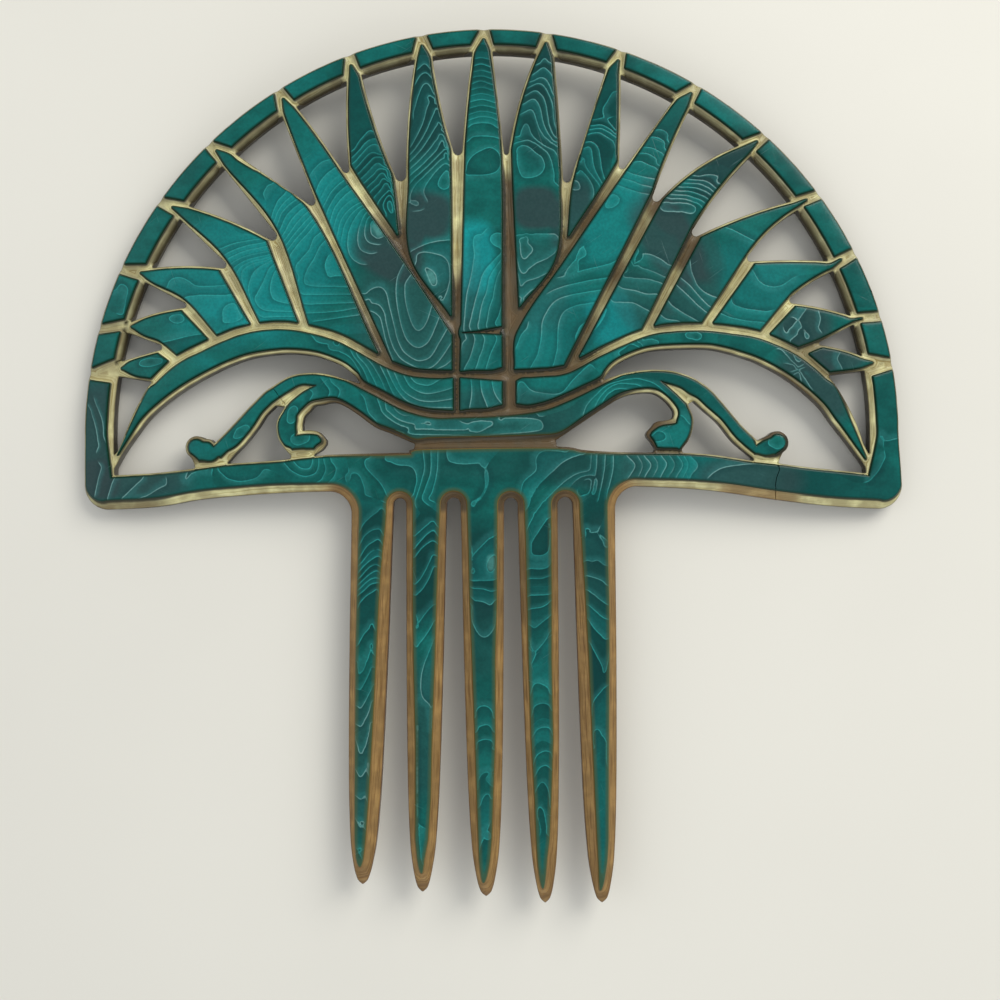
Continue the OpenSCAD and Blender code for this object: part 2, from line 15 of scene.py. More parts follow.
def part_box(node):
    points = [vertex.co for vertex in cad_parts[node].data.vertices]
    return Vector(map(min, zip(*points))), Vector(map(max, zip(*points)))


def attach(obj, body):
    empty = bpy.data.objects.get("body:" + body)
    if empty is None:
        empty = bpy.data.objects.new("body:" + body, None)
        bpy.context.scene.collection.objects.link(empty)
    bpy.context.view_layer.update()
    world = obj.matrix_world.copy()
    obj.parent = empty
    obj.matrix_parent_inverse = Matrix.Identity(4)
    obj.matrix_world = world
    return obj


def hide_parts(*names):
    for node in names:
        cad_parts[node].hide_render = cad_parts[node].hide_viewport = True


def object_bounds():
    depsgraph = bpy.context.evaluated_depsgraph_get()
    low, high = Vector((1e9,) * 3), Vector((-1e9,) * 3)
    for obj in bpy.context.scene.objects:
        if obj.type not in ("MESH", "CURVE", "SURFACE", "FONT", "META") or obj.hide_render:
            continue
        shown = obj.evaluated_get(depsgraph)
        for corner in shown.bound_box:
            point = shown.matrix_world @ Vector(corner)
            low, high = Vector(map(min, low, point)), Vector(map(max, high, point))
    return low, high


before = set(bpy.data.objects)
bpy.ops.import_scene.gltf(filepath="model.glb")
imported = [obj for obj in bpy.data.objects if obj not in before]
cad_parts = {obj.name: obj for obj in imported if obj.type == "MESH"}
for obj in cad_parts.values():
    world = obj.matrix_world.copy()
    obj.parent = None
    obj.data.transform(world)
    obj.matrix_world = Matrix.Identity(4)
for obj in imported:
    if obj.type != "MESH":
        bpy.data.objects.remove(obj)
cad_box = [list(map(float, corner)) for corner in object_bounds()]

# Sizes of the comb, in millimetres, as in the part's source
MM = 0.001
SHEET = 3.5
SKIN = 0.35
BEND = 650.0
LOW, HIGH = (np.array(corner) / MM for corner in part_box("comb_sheet"))
SIDE = HIGH[0]
AXIS_DROP = math.sqrt(BEND**2 - SIDE**2)

# The amber beside a teal face, in millimetres
SEAT = 0.02  # room between a face and the land under it
LAND = SHEET - SKIN - SEAT
LIP = 0.2  # level strip along the face
LIP_SHARE = 0.7  # of a narrow gap that the lip may take
FALL = 1.05  # depth that a wide groove comes to
FLATTEN = 1.3  # distance over which the fall flattens
DIRT_OVER = 0.45  # distance over which the dirt comes in
UNEVEN_OVER = 0.5  # and the unevenness of the cutting

# The leaning sawn edge inside the rim, in millimetres
RIM_SLOPE = 0.42  # from the rim's teal to the top of the lean
RIM_LEAN = 1.45  # from the opening to the top of the lean
RIM_STEEP = 1.5  # its fall for each millimetre
RIM_CLEAR = 0.8  # how much nearer than other teal the rim's has to be
RIM_GREY = 1.3  # how far from the rim's teal the amber has greyed

# Sawn edges and walls, in millimetres
EDGE_ROUND = 0.18  # width of the rounded upper edge
EDGE_DROP = 0.09  # its drop
EDGE_ROOM = 2.2  # edge widths of amber that it needs for a shoulder
WALL_TOP = 0.08  # from the upper edge to the wall's first ring
BACK_ROUND = 0.25  # radius of the lower edge
ROUND_MIDDLE = 0.3  # share of that radius at which the middle of its round lies

# How dark the sawn amber is painted, as shade, from 0 to 1
EDGE_SHADE = 0.8
WALL_SHADE = 1.0
BACK_SHADE = 0.5
SHADE_DROP = 0.16  # extra fall in the rim at which its painted shade is full

# A teal face, in millimetres
ROUND_DEEP, ROUND_WIDE = 0.045, 0.07  # its rounded edge
SWELL_DEEP, SWELL_WIDE = 0.03, 0.6  # its slow swell
FOOT_OVER = 0.01  # its bevel's foot over the land
UNDER_OVER = 0.005  # its underside over the land
SMOOTH_UNDER = 42  # degrees; a sharper edge isn't shaded smooth

# Points, in millimetres
TEAL_CORNER, SHEET_CORNER = 0.1, 0.3  # radius of the outlines' corners
STEP = 0.42  # along outlines
OUTER_ROWS = (0.2, 0.4, 0.68, 1.0, 1.4)  # rows outside the teal's edge
OUTER_SHARE = 0.8  # of the room there that a row may take
INNER_ROWS = (0.07, 0.2, 0.42)  # rows inside the teal's edge
INNER_SHARE = 0.75
GROOVE = 3  # half width of the widest groove with points along its middle
GROOVE_STEP = 0.16
FILL, FILL_EDGE = 0.34, 0.56  # inside faces: spacing, and least distance from the edge
BACK_STEP, BACK_EDGE = 2.5, 0.9  # the same on the back
SEARCH = 7.0  # furthest that anything is looked for
SAME_PLACE = 1e-5  # distance at which two points are one
SAME_DIGITS = 4  # decimals to which points of one place agree
KEEP_INSIDE = 1  # triangulation's code for triangles inside the outlines alone

# Cracks: the places x, y, x, y ... of each in pixels of the photograph; the rest in millimetres
CRACKS = [
    (778.5, 462, 779.5, 470, 776.5, 478, 775.5, 485, 777, 500),
    (272, 387, 276, 392, 281, 400, 284, 403),
]
CRACK_REACH = 0.08  # half width
CRACK_FALL = 0.14  # depth
CRACK_STEP = 0.2  # spacing of points along it
CRACK_EDGE = 0.04  # least distance of these from an edge
CRACK_ROOM = 0.1  # and from other points

# The photograph, and how a pixel of it lies on the face of the comb
PICTURE = 1000  # pixels each way
PIXEL = 0.172  # millimetres
LENS = np.array([1.158, -5.70])  # place over the drawing, in millimetres
LENS_HEIGHT = 220.0  # over the middle of the face


# ---------------------------------------------------------------- flat drawing and bending


def face_top(x):
    """Height of the comb's face over the floor: the cylinder through the top of the sheet."""
    return np.sqrt((BEND + SHEET) ** 2 - x**2) - AXIS_DROP


def bent(plan, h):
    """Points of the bent sheet: straight up from the drawing onto the cylinder whose radius is
    the bend plus the height h, measured from the floor under the two side edges."""
    z = np.sqrt((BEND + h) ** 2 - plan[:, 0] ** 2) - AXIS_DROP
    return np.column_stack([plan, z])


def seen(pixels):
    """Place on the drawing of points seen at these pixels of the photograph: each lies on the
    line from the lens through the pixel, where that line meets the bent face. Three rounds bring
    it there."""
    pixels = np.atleast_2d(np.asarray(pixels, float))
    flat = LENS + (pixels - PICTURE / 2) * [PIXEL, -PIXEL]
    top = face_top(np.zeros(1))
    spot = flat.copy()
    for _ in range(3):
        drop = top - face_top(spot[:, 0])
        spot = LENS + (flat - LENS) * ((LENS_HEIGHT + drop) / LENS_HEIGHT)[:, None]
    return spot


def soft_step(share):
    """A share from 0 to 1 that starts and ends slowly: three squares less two cubes."""
    return share * share * (3 - 2 * share)


def upward(points, triangles):
    """The triangles, all anticlockwise on the drawing, and twice the area of each."""
    a, b, c = (points[triangles[:, k], :2] for k in range(3))
    turn = (b - a)[:, 0] * (c - a)[:, 1] - (b - a)[:, 1] * (c - a)[:, 0]
    triangles[turn < 0] = triangles[turn < 0][:, ::-1]
    return triangles, np.abs(turn)


def node_outlines(name, height, near=0.02):
    """Closed outlines, on the drawing, of the part of a CAD node's surface that lies near one
    height over the back: the edges that only one triangle of that surface uses, chained."""
    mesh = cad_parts[name].data
    mesh.calc_loop_triangles()
    points = np.zeros(len(mesh.vertices) * 3)
    corners = np.zeros(len(mesh.loop_triangles) * 3, int)
    mesh.vertices.foreach_get("co", points)
    mesh.loop_triangles.foreach_get("vertices", corners)
    points = points.reshape(-1, 3) / MM
    points, first = np.unique(np.round(points, SAME_DIGITS), axis=0, return_inverse=True)
    triangles = first.ravel()[corners].reshape(-1, 3)
    over = np.hypot(points[:, 0], points[:, 2] + AXIS_DROP) - BEND
    level = np.abs(over[triangles] - height).max(1) < near
    triangles, area = upward(points, triangles[level])
    triangles = triangles[area > 1e-7]
    edges = np.concatenate([triangles[:, [0, 1]], triangles[:, [1, 2]], triangles[:, [2, 0]]])
    code = edges[:, 0] * len(points) + edges[:, 1]
    back = edges[:, 1] * len(points) + edges[:, 0]
    rim_edges = edges[~np.isin(code, back)]
    index = np.full(len(points), -1)
    index[rim_edges[:, 0]] = np.arange(len(rim_edges))
    return in_turn(points[rim_edges[:, 0], :2], index[rim_edges[:, 1]])


def in_turn(points, following):
    """Closed outlines from loose points and the number of the point that follows each. Jumps that
    double in length find each loop's first point, and then how far every point is from its end."""
    here = np.arange(len(points))
    doublings = range(int(math.log2(len(points))) + 1)
    first = here.copy()
    jump = following.copy()
    for _ in doublings:
        first = np.minimum(first, first[jump])
        jump = jump[jump]
    last = following == first
    jump = np.where(last, here, following)
    left = np.where(last, 0, 1)
    for _ in doublings:
        left = left + left[jump]
        jump = jump[jump]
    order = np.lexsort((-left, first))
    breaks = np.flatnonzero(np.diff(first[order])) + 1
    return np.split(points[order], breaks)


def without_straights(loop, least=0.004):
    """The same outline without the points where the sine of its turn is under the least."""
    before = loop - np.roll(loop, 1, 0)
    beyond = np.roll(loop, -1, 0) - loop
    cross = before[:, 0] * beyond[:, 1] - before[:, 1] * beyond[:, 0]
    lengths = np.linalg.norm(before, axis=1) * np.linalg.norm(beyond, axis=1)
    return loop[np.abs(cross) > least * lengths]


def eased(loop, radius, sharp=33, share=0.35, turned_back=2.9):
    """Outline with its sharp corners rounded: a corner that turns more than sharp degrees becomes
    five points of the quadratic curve between the two places where a circle of that radius would
    touch its sides, or that share of the shorter side from the corner. A turn counts as no more
    than turned_back, in radians."""
    before = loop - np.roll(loop, 1, 0)
    beyond = np.roll(loop, -1, 0) - loop
    l0 = np.linalg.norm(before, axis=1)
    l1 = np.linalg.norm(beyond, axis=1)
    u0 = before / l0[:, None]
    u1 = beyond / l1[:, None]
    turn = np.arccos(np.clip((u0 * u1).sum(1), -1, 1))
    half = np.minimum(turn, turned_back) / 2
    cut = np.minimum(radius * np.tan(half), share * np.minimum(l0, l1))
    start = loop - u0 * cut[:, None]
    end = loop + u1 * cut[:, None]
    t = np.linspace(0, 1, 5)[None, :, None]
    curve = (1 - t) ** 2 * start[:, None] + 2 * t * (1 - t) * loop[:, None] + t**2 * end[:, None]
    keep = np.zeros(curve.shape[:2], bool)
    keep[:, 2] = True
    corner = turn > math.radians(sharp)
    keep[corner] = True
    curve[~corner] = loop[~corner][:, None]
    return curve[keep]


def even_steps(length, step):
    """Points at about even steps along sides of these lengths: the side that each is on, and
    the share of that side before it."""
    count = np.maximum(1, np.round(length / step)).astype(int)
    side = np.repeat(np.arange(len(count)), count)
    share = (np.arange(len(side)) - np.repeat(np.cumsum(count) - count, count)) / count[side]
    return side, share[:, None]


def cubic(p, p_way, q, q_way, t):
    """The place a share t of the way from p to q on the cubic that leaves and arrives with
    these directions."""
    return (
        (2 * t**3 - 3 * t**2 + 1) * p
        + (t**3 - 2 * t**2 + t) * p_way
        + (3 * t**2 - 2 * t**3) * q
        + (t**3 - t**2) * q_way
    )


def smooth(loop, step):
    """Evenly spaced points of a curve through the outline's points: between two of them a cubic
    whose end directions are the mean of the two sides there, weighted by their lengths."""
    beyond = np.roll(loop, -1, 0) - loop
    length = np.linalg.norm(beyond, axis=1)
    mean = beyond + np.roll(beyond, 1, 0)
    way = mean / np.linalg.norm(mean, axis=1)[:, None]
    side, t = even_steps(length, step)
    size = length[side][:, None]
    end, end_way = np.roll(loop, -1, 0), np.roll(way, -1, 0)
    return cubic(loop[side], way[side] * size, end[side], end_way[side] * size, t)


def outward(loop):
    """Unit normals to the right of a closed outline, which is outside where it runs
    anticlockwise: the turned difference of each point's two neighbours."""
    along = np.roll(loop, -1, 0) - np.roll(loop, 1, 0)
    along /= np.linalg.norm(along, axis=1)[:, None]
    return np.column_stack([along[:, 1], -along[:, 0]])


def joined(loops):
    """All loops in one array, each point's next one, and the loop it belongs to."""
    sizes = [len(loop) for loop in loops]
    starts = np.cumsum([0] + sizes)
    following = np.concatenate([np.roll(np.arange(n), -1) + s for n, s in zip(sizes, starts)])
    owner = np.repeat(np.arange(len(loops)), sizes)
    return np.concatenate(loops), following, owner


def in_bands(work, points, targets, reach, size=500):
    """Work done on bands of points, sorted up the drawing, each with only the targets that lie
    no further than reach above or below the band; the results go back to the points' order."""
    order = np.argsort(points[:, 1], kind="stable")
    rising = np.argsort(targets[:, 1], kind="stable")
    heights = targets[rising, 1]
    parts = []
    for k in range(0, len(points), size):
        block = points[order[k : k + size]]
        low = np.searchsorted(heights, block[0, 1] - reach)
        high = np.searchsorted(heights, block[-1, 1] + reach)
        parts.append(work(block, rising[low:high]))
    back = np.argsort(order, kind="stable")
    return [np.concatenate(column)[back] for column in zip(*parts)]


def nearest(points, targets):
    """Distance from each point to the nearest target, SEARCH at most, and which one it is."""

    def work(block, some):
        if len(some) == 0:
            return np.full(len(block), SEARCH), np.zeros(len(block), int)
        square = ((block[:, None] - targets[some][None]) ** 2).sum(2)
        which = square.argmin(1)
        return np.minimum(np.sqrt(square[np.arange(len(block)), which]), SEARCH), some[which]

    return in_bands(work, points, targets, SEARCH)


def room(points, normals, targets, ahead=1e-4, apart=0.02, endless=99):
    """Radius of the largest circle that touches each point from the side its normal shows and
    holds no target, and the target it meets: the square of the distance to a target over twice
    its distance along the normal, at its least. Targets that aren't ahead of the point, and its
    neighbours on the same edge, whose squared distance is under apart, don't count."""

    def work(block, some):
        start, normal = block[:, :2], block[:, 2:]
        away = targets[some][None] - start[:, None]
        along = (away * normal[:, None]).sum(2)
        square = (away**2).sum(2)
        fits = (along > ahead) & (square > apart)
        radius = np.where(fits, square / (2 * np.maximum(along, ahead)), endless)
        which = radius.argmin(1)
        return radius[np.arange(len(block)), which], some[which]

    return in_bands(work, np.column_stack([points, normals]), targets, SEARCH)


def within(points, outline, following, reach=1.0):
    """Which points lie in an odd number of the closed outlines: the sides that a level line from
    the point crosses to its right are counted. No side rises more than twice the reach."""
    a = outline[: len(following)]
    b = outline[following]
    middle = (a + b) / 2

    def work(block, some):
        ax, ay, bx, by = a[some, 0], a[some, 1], b[some, 0], b[some, 1]
        y = block[:, 1][:, None]
        crosses = (ay[None] > y) != (by[None] > y)
        rise = np.where(by == ay, 1.0, by - ay)
        x = ax[None] + (y - ay[None]) * ((bx - ax) / rise)[None]
        return ((crosses & (x > block[:, 0][:, None])).sum(1) % 2 == 1,)

    return in_bands(work, points, middle, reach)[0]


def triangulated(points, following):
    """Delaunay triangles inside the outermost of the closed outlines, which are kept as edges;
    following gives the next point on the outline for the first of the points. Gives the points,
    which input each one was, and the triangles."""
    edges = np.column_stack([np.arange(len(following)), following]).tolist()
    places = [Vector(p) for p in points.tolist()]
    result = delaunay_2d_cdt(places, edges, [], KEEP_INSIDE, SAME_PLACE)
    out = np.array([v[:] for v in result[0]])
    source = np.array([o[0] if o else -1 for o in result[3]])
    triangles = np.array([f[:] for f in result[2] if len(f) == 3])
    return out, source, upward(out, triangles)[0]


def thinned(points, cell):
    """One point for each square cell of that size."""
    _, keep = np.unique(np.floor(points / cell), axis=0, return_index=True)
    return np.sort(keep)


def strip(a, b, following):
    """Two triangles for each side between two matching outlines, given their first indices."""
    here = np.arange(len(following))
    return np.concatenate(
        [
            np.column_stack([a + here, b + here, b + following]),
            np.column_stack([a + here, b + following, a + following]),
        ]
    )


def welded(parts):
    """One list of points and triangles from several, with points at the same place made one."""
    offset = np.cumsum([0] + [len(points) for points, _ in parts])
    points = np.concatenate([points for points, _ in parts])
    triangles = np.concatenate([t + o for (_, t), o in zip(parts, offset)])
    _, first, label = np.unique(
        np.round(points[:, :3], SAME_DIGITS), axis=0, return_index=True, return_inverse=True
    )
    triangles = label.ravel()[triangles]
    a, b, c = triangles.T
    triangles = triangles[(a != b) & (b != c) & (c != a)]
    return points[first], triangles


# ---------------------------------------------------------------- outlines of the comb

# The teal on the teeth, in pixels of the photograph: the middle of the comb, the rows where the
# teal starts to differ from the part's and where it differs in full; half a tooth's room in
# millimetres; and for each tooth where its face ends, then its left and right edges at TOOTH_ROWS
TOOTH_MIDDLE = 480
TOOTH_START, TOOTH_FULL = 515, 575
TOOTH_HALF = 4.6
TOOTH_ROWS = [560, 600, 660, 740, 800, 840, 860]
TEETH = [
    (
        (359.6, 867),
        (358, 356.9, 355.6, 355.2, 354.8, 354.8, 356.3),
        (381, 378.4, 375.5, 371.5, 368, 365, 362.8),
    ),
    (
        (421.6, 873.5),
        (412.9, 413, 413.7, 415.6, 415.5, 415.4, 417.4),
        (437.5, 436, 434.4, 431.5, 430.2, 427.7, 424),
    ),
    (
        (483.3, 883),
        (469, 470, 472.3, 475.2, 477.2, 478.6, 479.4),
        (496.8, 496.6, 494.8, 495, 492.8, 491.4, 489.6),
    ),
    (
        (543.1, 888.7),
        (526.4, 527.5, 528.8, 531.6, 535, 536.6, 537.8),
        (551.3, 551.5, 551.4, 553, 551, 549.2, 546.8),
    ),
    (
        (600.3, 890.5),
        (583.5, 586, 589.4, 592.8, 595.6, 597.5, 598.6),
        (608.1, 609, 609.3, 608.7, 608.5, 608.4, 607.3),
    ),
]


def tooth_fitted(loop):
    """The bar's outline with its teeth brought to the photograph's edges: each tooth is stretched
    along to its end, and its two sides take the tabled edges, which meet at the end in the
    square root of what is left of the length."""
    loop = loop.copy()
    rows = (TOOTH_START, TOOTH_FULL, TOOTH_ROWS[-1])
    start, full, last = (float(seen((TOOTH_MIDDLE, row))[0, 1]) for row in rows)
    side = outward(loop)[:, 0]
    for tip, left, right in TEETH:
        tip = seen(tip)[0]
        mine = (loop[:, 1] < start) & (np.abs(loop[:, 0] - tip[0]) < TOOTH_HALF)
        x, y = loop[mine].T
        y = start + (y - start) * (tip[1] - start) / (y.min() - start)
        edges = []
        for edge in (left, right):
            line = seen(np.column_stack([edge, TOOTH_ROWS]))[::-1]
            part = np.sqrt(np.clip((y - tip[1]) / (last - tip[1]), 0, 1))
            end = tip[0] + (line[0, 0] - tip[0]) * part
            edges.append(np.where(y > last, np.interp(y, line[:, 1], line[:, 0]), end))
        wanted = np.where(side[mine] < 0, edges[0], edges[1])
        share = soft_step(np.clip((start - y) / (start - full), 0, 1))
        loop[mine] = np.column_stack([x + (wanted - x) * share, y])
    return loop


# Where the curls of the scrolls are rounder than in the part, and one ray's edge is further in:
# x and y in pixels of the photograph, how far to the right and down, and how far the pull reaches
TEAL_NUDGES = [
    (207.7, 443.8, 1.6, -2.5, 5), (198.9, 462.4, 0, -2.9, 8), (222.5, 461, -2.5, -4, 7),
    (229, 455.3, -1.8, -2.2, 7), (294.3, 433.7, 2.6, 0.6, 6), (295.5, 420, 2, 0.4, 9),
    (318, 440, 4, -0.4, 5), (311.3, 451, 2.5, -3, 5), (290.8, 452.2, 1, -4.2, 7),
    (301, 452.2, 0, -4, 7), (320, 396.5, 0, 2.4, 12), (303, 406, 1.6, 1.8, 8),
    (759.9, 457.8, -4.2, -3.8, 6), (774.6, 458.2, 1, -4.5, 7), (758, 442.8, -1.4, 2.6, 4),
    (238, 161, -1.2, 2, 9), (252, 166.5, -1.4, 2.4, 10), (268, 176, -1.4, 2.4, 10),
    (283, 186, -1.4, 2.4, 10), (296, 198, -1, 1.4, 8), (655.5, 437, -4.4, 0, 6),
    (657, 443, -1, -1.6, 5), (675, 423.5, 0, 1.5, 6),
]
SHEET_NUDGES = [
    (208.7, 441.3, 1.6, -2.9, 5), (298.4, 431, 4, 0.2, 6), (299.4, 419.4, 4.2, 0.4, 8),
    (303.5, 407, 3.6, 3.4, 8), (321.5, 398.5, 0.4, 3.6, 11), (323, 442, 3.8, 0.6, 7),
    (319, 449, 3.4, 0.6, 6), (649, 435, -3.6, 0, 6), (660, 424, -2.6, -0.8, 6),
]

# The notch in the middle ray: its lower side from end to mouth and its tip, in pixels of the
# photograph; how much wider and longer than in the part it is, and the reach of the longer tip
NOTCH_END, NOTCH_MOUTH, NOTCH_TIP = (461, 336), (500, 326), (467, 332)
NOTCH_MORE = 0.62
NOTCH_LONGER = 0.95
NOTCH_REACH = 1.6


def nudged(loop, rows):
    """Outline pulled at the rows' places: each pull fades with the square of the distance as a
    falling exponential, and where pulls meet it is their mean."""
    pull = np.zeros((len(loop), 2))
    weight = np.zeros(len(loop))
    for x, y, right, down, reach in rows:
        r = np.linalg.norm(loop - seen((x, y)), axis=1) / PIXEL
        w = np.exp(-((r / reach) ** 2))
        pull += w[:, None] * [right, -down]
        weight += w
    return loop + PIXEL * pull / np.maximum(weight, 1)[:, None]


def notch_opened(loop):
    """The middle ray with the lower side of its notch moved down, by up to NOTCH_MORE at its
    mouth, and its tip moved left."""
    loop = loop.copy()
    (left, low), (right, high) = seen(NOTCH_END)[0], seen(NOTCH_MOUTH)[0]
    x, y = loop.T
    lower = (y > low) & (y < high) & (x > left) & (outward(loop)[:, 1] > 0.3)
    share = np.clip((loop[lower, 0] - left) / (right - left), 0.2, 1)
    loop[lower, 1] -= NOTCH_MORE * share
    from_tip = np.linalg.norm(loop - seen(NOTCH_TIP)[0], axis=1)
    loop[:, 0] -= NOTCH_LONGER * np.clip(1 - from_tip / NOTCH_REACH, 0, 1)
    return loop


FACE_NODES = [name for name in sorted(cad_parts) if name != "comb_sheet"]
face_loops = []
loop_face = []
for name in FACE_NODES:
    for loop in node_outlines(name, SHEET):
        loop = smooth(eased(without_straights(loop), TEAL_CORNER), STEP)
        if name == "bar_face":
            loop = tooth_fitted(loop)
        if name == "ray_face_9":
            loop = notch_opened(loop)
        if name in ("scroll_face", "ray_face_5"):
            loop = nudged(loop, TEAL_NUDGES)
        face_loops.append(loop)
        loop_face.append(name)
sheet_loops = [
    nudged(smooth(eased(without_straights(loop), SHEET_CORNER), STEP), SHEET_NUDGES)
    for loop in node_outlines("comb_sheet", 0.0)
]

# Every edge point of the teal faces and of the sheet, with the way out of the teal and into the
# sheet; the teal that belongs to the rim, and the sheet's edges other than its outside
teal, teal_next, teal_loop = joined(face_loops)
teal_out = np.concatenate([outward(loop) for loop in face_loops])
rim, rim_next, rim_loop = joined(sheet_loops)
rim_in = -np.concatenate([outward(loop) for loop in sheet_loops])
rim_teal = np.array([loop_face[k].startswith("rim") for k in teal_loop])
openings = rim_loop != int(np.argmax([np.ptp(loop[:, 0]) for loop in sheet_loops]))

# Free room outside and inside each teal edge point, what it meets outside, the lip's width, and
# how near the sheet's edge comes to teal
gap, meets = room(teal, teal_out, np.concatenate([teal, rim]))
inner, _ = room(teal, -teal_out, teal)
lip = np.minimum(LIP, LIP_SHARE * gap)
rim_near, _ = nearest(rim, teal)


# ---------------------------------------------------------------- cracks


def crack_depth(plan):
    """How deep in a crack a point is: 1 on the crack's line, 0 from CRACK_REACH off it."""
    depth = np.zeros(len(plan))
    for line in CRACKS:
        line = seen(np.reshape(line, (-1, 2)))
        for a, b in zip(line[:-1], line[1:]):
            along = np.clip((plan - a) @ (b - a) / ((b - a) @ (b - a)), 0, 1)
            off = np.linalg.norm(plan - a - along[:, None] * (b - a), axis=1)
            depth = np.maximum(depth, 1 - off / CRACK_REACH)
    return depth


def crack_points():
    """Points along the middle and both sides of each crack, CRACK_STEP apart."""
    rows = []
    for line in CRACKS:
        line = seen(np.reshape(line, (-1, 2)))
        length = np.concatenate([[0], np.cumsum(np.linalg.norm(np.diff(line, axis=0), axis=1))])
        at = np.arange(0, length[-1], CRACK_STEP)
        middle = np.column_stack([np.interp(at, length, line[:, k]) for k in (0, 1)])
        along = np.gradient(middle, axis=0)
        side = np.column_stack([-along[:, 1], along[:, 0]])
        side /= np.linalg.norm(along, axis=1)[:, None]
        rows += [middle, middle + CRACK_REACH * side, middle - CRACK_REACH * side]
    return np.concatenate(rows)


# ---------------------------------------------------------------- the amber sheet


def carved(d):
    """Height of the amber at a distance d from the teal's edge: level under the lip, then a fall
    that flattens, the whole fall times one minus a falling exponential."""
    e = np.clip(d - LIP, 0, None)
    return LAND - FALL * (1 - np.exp(-e / FLATTEN))


def beside_rim(plan):
    """Distance of each point to the rim's teal, and how clearly no other teal is nearer, from 0
    to 1."""
    from_rim, _ = nearest(plan, teal[rim_teal])
    from_other, _ = nearest(plan, teal[~rim_teal])
    return from_rim, np.clip((from_other - from_rim) / RIM_CLEAR, 0, 1)


def rim_drop(plan):
    """Extra fall of the amber inside the rim, where the sawn edge of each opening leans:
    RIM_STEEP times how far a point is inside RIM_LEAN of the opening or outside RIM_SLOPE of the
    rim's teal, whichever is less, and less next to any other teal."""
    from_rim, clear = beside_rim(plan)
    from_opening, _ = nearest(plan, rim[openings])
    lean = np.clip(RIM_LEAN - from_opening, 0, None)
    slope = np.clip(from_rim - RIM_SLOPE, 0, None)
    return RIM_STEEP * np.minimum(lean, slope) * soft_step(clear)


def rim_side(plan):
    """How close a point is to the rim's teal, where the amber has turned greyish green: 1 beside
    it and 0 from RIM_GREY off, and 0 beside any other teal."""
    from_rim, clear = beside_rim(plan)
    return np.clip(RIM_GREY - from_rim, 0, 1) * clear


def knife_line_and_shadow(plan, way=(0.8, -0.6), start=-0.1, over=0.7):
    """1 beside a teal edge that faces the lower right, where the knife line is widened by a painted
    black shadow, and 0 beside one that faces the upper left: a soft step in the cosine of the angle
    between."""
    _, which = nearest(plan, teal)
    return soft_step(np.clip((teal_out[which] @ way - start) / over, 0, 1))


def uneven_cut(plan):
    """Small rise and fall of a cutter that no machine guides, 0.032 mm at most: two slow sine
    waves multiplied, and a quicker one added."""
    x, y = plan.T
    slow = np.sin(1.31 * x + 0.7 * y) * np.sin(0.93 * y - 0.41 * x)
    return 0.02 * slow + 0.012 * np.sin(2.9 * x - 1.7 * y)


def amber_cracks():
    """The cracks' points on the amber, clear of every edge, and their distances from the teal."""
    points = crack_points()
    depth, _ = nearest(points, teal)
    from_rim, _ = nearest(points, rim)
    bare = within(points, rim, rim_next) & ~within(points, teal, teal_next)
    bare &= (depth > CRACK_EDGE) & (from_rim > CRACK_EDGE)
    return points[bare], depth[bare]


def carved_top():
    """The carved side of the sheet round the lands: points with their height, carved depth, how
    dark its painted shade is and how dirty each is; triangles; and the heights of the sheet's
    edges. Besides the outlines it has rows of points beside the teal, along the middle of each
    groove, on the shoulder of each sawn edge and on the cracks."""
    rows = [(d, gap > d / OUTER_SHARE) for d in OUTER_ROWS]
    row_points = [teal[ok] + teal_out[ok] * d for d, ok in rows]
    row_depth = [np.full(ok.sum(), d) for d, ok in rows]
    groove = (meets < len(teal)) & (gap < GROOVE)
    bottoms = teal[groove] + teal_out[groove] * gap[groove][:, None]
    thin = thinned(bottoms, GROOVE_STEP)
    cracks, cracks_depth = amber_cracks()
    wide = rim_near > EDGE_ROOM * EDGE_ROUND
    shoulder = (rim + rim_in * EDGE_ROUND)[wide]
    shoulder_depth = rim_near[wide] - EDGE_ROUND
    top = np.concatenate([teal, rim, shoulder, cracks] + row_points + [bottoms[thin]])
    depth = [np.zeros(len(teal)), rim_near, shoulder_depth, cracks_depth] + row_depth
    depth = np.concatenate(depth + [gap[groove][thin]])
    edge = slice(len(teal), len(teal) + len(rim))
    height = carved(depth)
    height[edge] -= EDGE_DROP
    height += uneven_cut(top) * np.clip(depth / UNEVEN_OVER, 0, 1)
    drop = rim_drop(top)
    cracked = crack_depth(top)
    height -= drop + CRACK_FALL * cracked
    dirt = np.maximum(np.clip(depth / DIRT_OVER, 0, 1), 2 * cracked)
    # painted shade: the rim's leaning edges and the upper edges are painted dark like the sawn
    # walls
    sawn_shade = np.clip(drop / SHADE_DROP, 0, 1)
    sawn_shade[edge] = np.maximum(sawn_shade[edge], EDGE_SHADE)
    values = np.column_stack([height, LAND - height - drop, sawn_shade, dirt])
    following = np.concatenate([teal_next, rim_next + len(teal)])
    plan, source, triangles = triangulated(top, following)
    triangles = triangles[within(plan[triangles].mean(1), top, following)]
    return (np.column_stack([plan, values[source]]), triangles), height[edge]


def sheet_lands():
    """The level lands under the teal faces."""
    plan, _, triangles = triangulated(teal, teal_next)
    none = np.zeros(len(plan))
    return np.column_stack([plan, np.full(len(plan), LAND), none, none, none]), triangles


